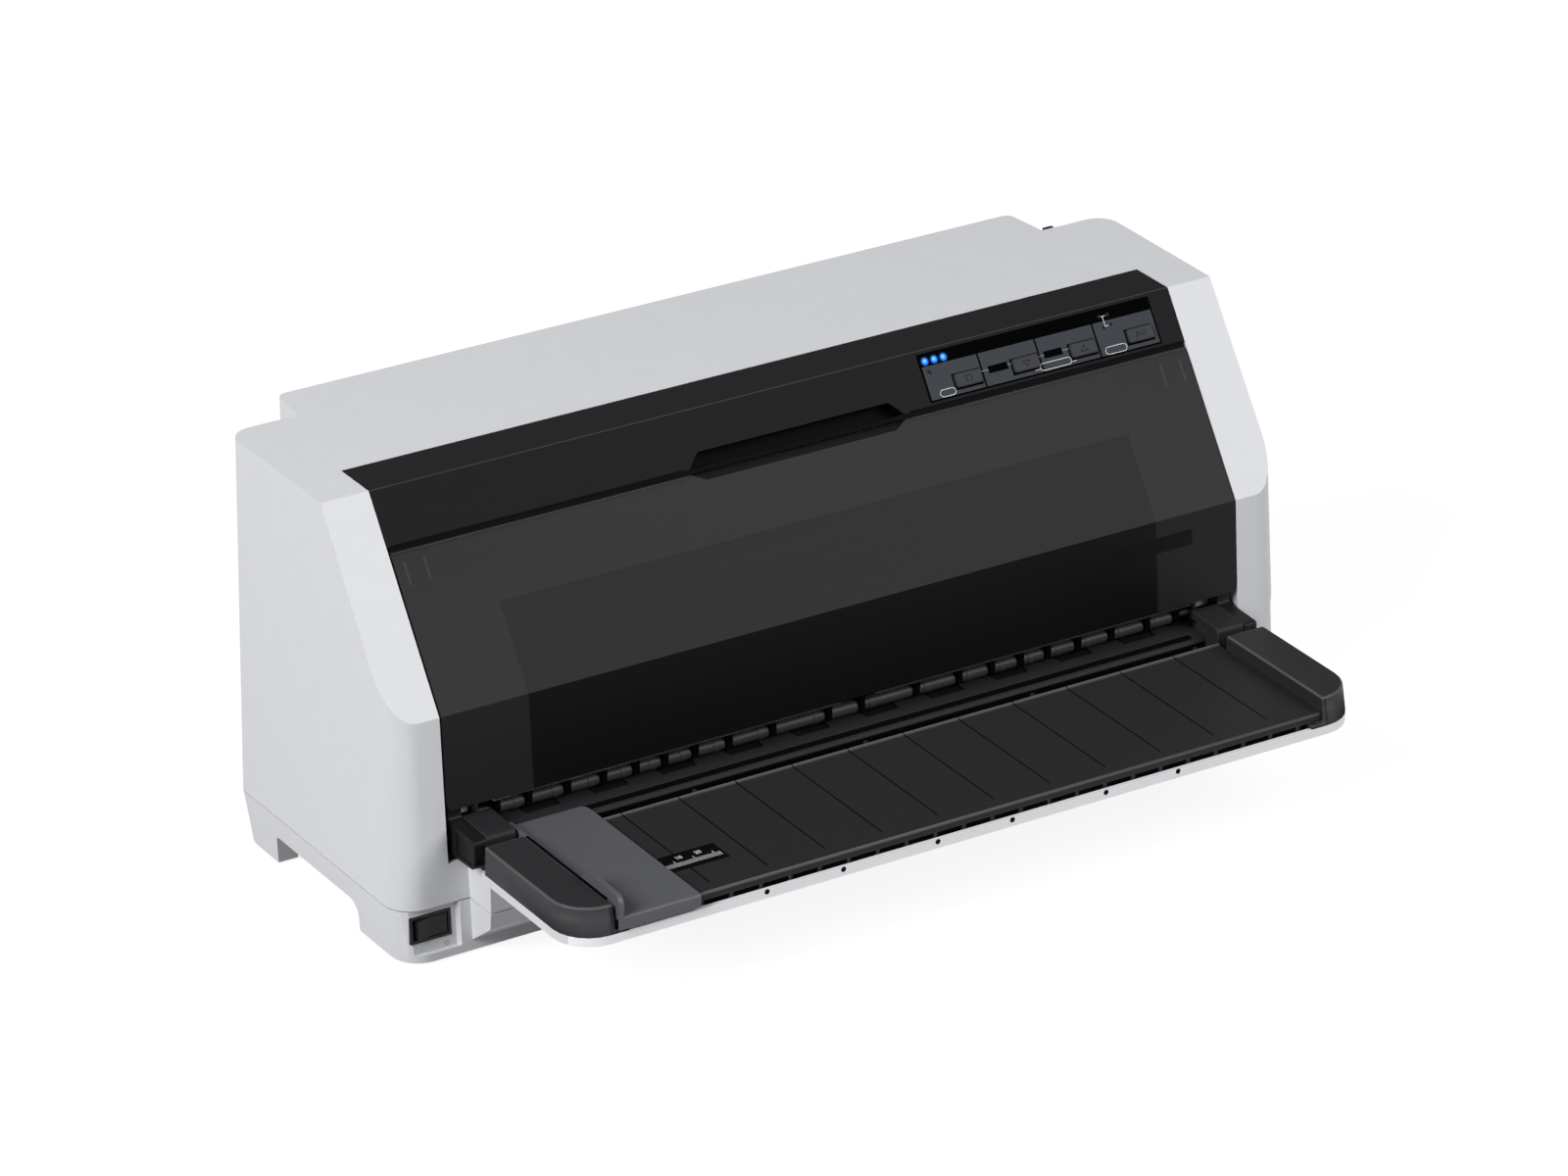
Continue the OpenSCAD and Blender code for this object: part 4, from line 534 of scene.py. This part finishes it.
# the key panel: each area is left, bottom, right, top, and film is how deep its face lies in the bar
panel = {
    "film": -0.3, "ink": 0.34, "bracketInk": 0.36, "fineInk": 0.3,
    "head": (93.6, 125.1, 259.8, 133.1), "foot": 103.4, "rules": (134.0, 174.8, 216.3), "ruleHalf": 0.6,
    "patches": ((138.3, 111.7, 152.1, 116.2), (178.1, 112.0, 191.2, 116.4)),
    "rims": ((93.6, 103.4, 95.2, 125.2), (258.9, 103.4, 259.8, 125.2), (93.6, 103.4, 259.8, 104.5)),
    "keys": (122.9, 164.1, 205.3, 246.5), "keyS": 112.2,
    "capsules": ((107.4, 107.1, 11.2, 4.6), (184.3, 107.4, 22.6, 4.6), (227.8, 107.0, 15.6, 4.8)),
    "dashes": ([(169.6, 106.6), (172.6, 106.6)], [(196.0, 106.3), (198.6, 106.3)]),
    "bracket": ([(222.5, 128.1), (227.0, 128.1)], [(225.2, 128.1), (225.2, 121.9), (227.2, 121.9)]),
    "leaders": ([(132.6, 114.2), (138.2, 114.2)], [(152.2, 114.2), (155.0, 114.2)],
                [(173.2, 114.2), (178.0, 114.2)], [(191.2, 114.3), (196.0, 114.3)]),
}
gap = {"x": (-10.1, 9.7), "s": (-5.4, 4.8), "leftW": 1.1, "rightW": 0.7, "lowW": 1.3, "highW": 0.7}
lift = {"black": 0.02, "ink": 0.04, "halo": 0.05, "unlit": 0.06, "lit": 0.07, "core": 0.09}
bottom, split = panel["foot"], panel["head"][1]
dark = [rect(*panel["head"])]
dark += [rect(x - panel["ruleHalf"], bottom, x + panel["ruleHalf"], split) for x in panel["rules"]]
dark += [rect(*area) for area in panel["patches"] + panel["rims"]]
low, high = (panel["keyS"] + s for s in gap["s"])
for x in panel["keys"]:  # painted shade in the gap round each key, wider on its left and low sides
    left, right = x + gap["x"][0], x + gap["x"][1]
    dark += [rect(left, low, right, low + gap["lowW"]), rect(left, high - gap["highW"], right, high),
             rect(left, low, left + gap["leftW"], high), rect(right - gap["rightW"], low, right, high)]
printed("panelBlackPrintAndKeyShade", "case", "blackFilmAndShade", dark, onSlope, panel["film"] + lift["black"])
white = [capsule(*shape, panel["ink"]) for shape in panel["capsules"]]
white += [stroke(line, panel["ink"]) for line in panel["dashes"]]
white += [stroke(line, panel["bracketInk"]) for line in panel["bracket"]]
printed("panelWhitePrint", "case", "whiteInk", white, onSlope, panel["film"] + lift["ink"])
pale = [stroke(line, panel["fineInk"]) for line in panel["leaders"]]
printed("panelPalePrint", "case", "paleInk", pale, onSlope, panel["film"] + lift["ink"])

lamps = {"x": (98.4, 104.9, 111.4), "s": 128.3, "halo": 2.8, "lit": 2.15, "core": 0.9,
         "unlitAt": ((98.7, 122.1), (228.9, 128.4), (229.4, 122.3)), "unlit": 1.2}
for name, mat, layer in (("litLampHalos", "litHalo", "halo"), ("litLamps", "litBlue", "lit"),
                         ("litLampCores", "litCore", "core")):
    discs = [disc(x, lamps["s"], lamps[layer]) for x in lamps["x"]]
    printed(name, "case", mat, discs, onSlope, panel["film"] + lift[layer])
discs = [disc(*at, lamps["unlit"]) for at in lamps["unlitAt"]]
printed("unlitLamps", "case", "darkLens", discs, onSlope, panel["film"] + lift["unlit"])

# the keys' signs, each line from the key's middle; a line of more than two points is closed
key = {"proud": 1.6, "line": 0.34}
signs = {
    "tear_off_key": [[(-2, 1.6), (-2, -1.7), (2, -1.7), (2, 1.6)]],
    "line_feed_key": [[(-2.3, 1.4), (2.3, 1.4), (0, -1.9)]],
    "load_key": [[(-2.3, -1.7), (2.3, -1.7), (0, 1.9)]],
    "pause_key": [[(-3, 1.6), (-3, -1.6), (0, 0)], [(1.4, 1.6), (1.4, -1.6)], [(2.9, 1.6), (2.9, -1.6)]],
}
for (body, lines), x in zip(signs.items(), panel["keys"]):
    placed = [[(x + a, panel["keyS"] + b) for a, b in line] for line in lines]
    drawn = [stroke(line, key["line"], len(line) > 2) for line in placed]
    name = body.replace("_key", "Sign").replace("_", "")
    printed(name, body, "blackFilmAndShade", drawn, onSlope, key["proud"] + lift["black"])
print("stage: panel marks")

# the scale let into the tray: ticks a sixteenth of an inch apart, every eighth longer, with plain numbers
low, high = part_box("tray_scale")
scale = {"left": low[0] / mm + 1.2, "right": high[0] / mm - 1.8,
         "front": (low[1] - place["kneeY"]) / mm + 4.4, "twenty": high[0] / mm - 18.0, "apart": 12.7,
         "step": 1.5875, "every": 8, "long": 6.6, "short": 4.0, "line": 0.42, "out": 0.03}
digit = {"right": 3.2, "pitch": 2.2, "up": 8.0, "wide": 1.4, "tall": 1.5, "line": 0.45}
digits = {"0": [(0, 0), (1, 0), (1, 2), (0, 2), (0, 0)], "1": [(0.5, 0), (0.5, 2), (0.1, 1.6)],
          "2": [(1, 0), (0, 0), (1, 1.3), (1, 2), (0, 2), (0, 1.5)]}
first = math.ceil((scale["left"] - scale["twenty"]) / scale["step"])
last = math.floor((scale["right"] - scale["twenty"]) / scale["step"])
ticks = []
for i in range(first, last + 1):
    x = scale["twenty"] + i * scale["step"]
    tall = scale["long"] if i % scale["every"] == 0 else scale["short"]
    ticks.append(stroke([(x, scale["front"]), (x, scale["front"] + tall)], scale["line"]))
for x, word in ((scale["twenty"] - scale["apart"], "10"), (scale["twenty"], "20")):
    for j, letter in enumerate(word):
        start = x + digit["right"] + digit["pitch"] * j
        foot = scale["front"] + digit["up"]
        line = [(start + digit["wide"] * a, foot + digit["tall"] * b) for a, b in digits[letter]]
        ticks.append(stroke(line, digit["line"]))
printed("scalePrint", "case", "whiteInk", ticks, onTray, scale["out"])

# the screw-head shadows in the six small holes along the tray's rim
rimHoles = {"x": (-143.8, -92.6, -28.6, 22.6, 87.8, 138.6), "z": 64.2, "r": 1.7, "face": -140.0, "out": 0.02}


def onRim(x, z, out=0.0):
    return (x * mm, place["kneeY"] + (rimHoles["face"] - out) * mm, z * mm)


shades = [disc(x, rimHoles["z"], rimHoles["r"]) for x in rimHoles["x"]]
printed("rimHoleShade", "case", "blackAndShade", shades, onRim, rimHoles["out"])

# the groove behind the thin front rib of the paper bed, drawn as a black strip of painted shade; the bed climbs
# by rise for each mm to the back
bed = {"y": -17.0, "z": -1.5, "rise": 1.9 / 8, "groove": (-222.0, -14.3, 236.0, -10.2), "out": 0.05}


def onBed(x, y, out=0.0):
    return onTray(x, y, bed["z"] + (y - bed["y"]) * bed["rise"] + out)


printed("bedGrooveShade", "case", "blackAndShade", [rect(*bed["groove"])], onBed, bed["out"])

# the seam under the control bar: a black strip just below the surface as painted shade in the gap,
# and a painted highlight along the lid's top edge
seamHalf = min(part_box("front_cover")[1][0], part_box("control_bar")[1][0]) / mm - 1.0
seam = {"lip": (98.3, 101.0), "sunk": -0.35, "edge": 0.9, "scoop": 78.0, "gleam": (96.7, 97.3), "out": 0.02}
low, high = seam["lip"]
printed("seamShadeStrip", "case", "blackAndShade", [rect(-seamHalf, low, seamHalf, high)], onSlope, seam["sunk"])
# a black strip along the bar's lower edge beside the scoop: painted shade
edges = [rect(side * seamHalf, high, side * seam["scoop"], high + seam["edge"]) for side in (-1, 1)]
printed("barLowerEdgeShade", "case", "blackAndShade", edges, onSlope, seam["out"])
# the lid's top edge beside the scoop: a painted highlight
low, high = seam["gleam"]
gleams = [rect(-seamHalf, low, -seam["scoop"], high), rect(seam["scoop"], low, seamHalf, high)]
printed("lidTopGleam", "cover", "clipShapeAndHighlight", gleams, onSlope, seam["out"])

# the hinge arms that show through the lid, and the dark slot behind it painted as shade
through = {"arms": (-267.5, -254.5, 253.5, 267.5), "armHalf": 0.8, "armS": (77.0, 91.5),
           "slot": (187.0, 129.0, 243.0, 139.0), "out": 0.02}
low, high = through["armS"]
arms = [rect(x - through["armHalf"], low, x + through["armHalf"], high) for x in through["arms"]]
printed("lidArmShapes", "cover", "clipShapeAndHighlight", arms, onSlope, through["out"])
printed("lidSlotShade", "cover", "scaleFilmAndShade", [rect(*through["slot"])], onFront, through["out"])

# a black strip of painted shade filling the gap between the left end block and the side guide: a plain box
gapShade = {"right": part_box("edge_guide")[0][0] / mm - 0.25, "wide": 1.7, "y": (-128.0, -40.0), "z": (72.0, 82.75)}
gapShadeX = (gapShade["right"] - gapShade["wide"], gapShade["right"])
corners = np.array([(x, y, z) for x in gapShadeX for y in gapShade["y"] for z in gapShade["z"]])
sides = [(0, 1, 3, 2), (4, 6, 7, 5), (0, 4, 5, 1), (2, 3, 7, 6), (0, 2, 6, 4), (1, 5, 7, 3)]
gapShadeStrip = newPiece("gapShadeStrip", (corners * mm + (0, place["kneeY"], 0)).tolist(), sides, look["blackAndShade"])
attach(gapShadeStrip, "case")

# the bar and the ring below the power rocker, moulded into the ledge, drawn grey as painted shade of their
# flanks
ledge = {"x": (-296.0, -279.5), "z": 10.6, "bar": 1.1, "ring": 1.2, "line": 0.4, "points": 20, "out": 0.03}
left, right = ledge["x"]
turns = np.linspace(0, 2 * math.pi, ledge["points"])
ring = [(right + ledge["ring"] * math.cos(a), ledge["z"] + ledge["ring"] * math.sin(a)) for a in turns]
marks = [stroke([(left, ledge["z"] - ledge["bar"]), (left, ledge["z"] + ledge["bar"])], ledge["line"]),
         stroke(ring, ledge["line"])]
printed("rockerMarkShade", "case", "markShade", marks, onFront, ledge["out"])
print("stage: printed marks")

# camera: the photograph's view, fitted to its edges
shot = {"at": (-2.0784, -3.3033, 2.0268), "towards": (0.4763, 0.7645, -0.4344), "lens": 168.9,
        "sensor": 36.0, "far": 80}
lensData = bpy.data.cameras.new("camera")
lensData.lens = shot["lens"]
lensData.sensor_width = shot["sensor"]
lensData.clip_end = shot["far"]
camera = bpy.data.objects.new("camera", lensData)
camera.location = shot["at"]
camera.rotation_euler = Vector(shot["towards"]).to_track_quat("-Z", "Y").to_euler()
bpy.context.scene.collection.objects.link(camera)
bpy.context.scene.camera = camera

# light: a dim even room, a large soft box to the left, one in front to the right that the slope mirrors,
# and a low one behind that only the back sees; all face aim, a point inside the object
light = {"room": 0.15, "white": (1.0, 1.0, 1.0, 1), "aim": (0, 0, 0.12)}
world = bpy.data.worlds.new("evenRoom")
bpy.context.scene.world = world
world.use_nodes = True
room = world.node_tree.nodes["Background"]
room.inputs["Color"].default_value = light["white"]
room.inputs["Strength"].default_value = light["room"]

boxes = {
    "leftBox": {"at": (-4.43, -0.95, 3.24), "size": (2.6, 2.6), "power": 276},
    "slopeBox": {"at": (2.38, -3.39, 2.93), "size": (3.3, 3.3), "power": 146},
    "backBox": {"at": (0.6, 5.2, 0.6), "size": (2.2, 1.0), "power": 70},
}
for name, b in boxes.items():
    data = bpy.data.lights.new(name, "AREA")
    data.shape = "RECTANGLE"
    data.size, data.size_y = b["size"]
    data.energy = b["power"]
    lamp = bpy.data.objects.new(name, data)
    lamp.location = b["at"]
    lamp.rotation_euler = (Vector(light["aim"]) - Vector(b["at"])).to_track_quat("-Z", "Y").to_euler()
    lamp.visible_glossy = name != "backBox"  # at a glancing angle it would veil the top
    bpy.context.scene.collection.objects.link(lamp)

# the floor: a matt pale board, white to the camera and in reflections, with the object's shadow on it
ground = {"glow": 0.88, "half": 25.0, "at": (0, 0, -0.0002)}
floorMat = surface("paleFloorBoard", "808080", 0.9, spec=0.1)
tree = floorMat.node_tree
shader = tree.nodes["Principled BSDF"]
path = addNode(tree, "ShaderNodeLightPath").outputs
seen = worked(tree, "MAXIMUM", path["Is Camera Ray"], path["Is Glossy Ray"])
either = worked(tree, "MAXIMUM", seen, path["Is Transmission Ray"])
shader.inputs["Emission Color"].default_value = light["white"]
tree.links.new(worked(tree, "MULTIPLY", either, ground["glow"]), shader.inputs["Emission Strength"])
half = ground["half"]
floor = newPiece("paleFloor", [(-half, -half, 0), (half, -half, 0), (half, half, 0), (-half, half, 0)],
                 [(0, 1, 2, 3)], floorMat)
floor.location = ground["at"]
bpy.context.scene.view_settings.view_transform = "Standard"
print("stage: camera and light")
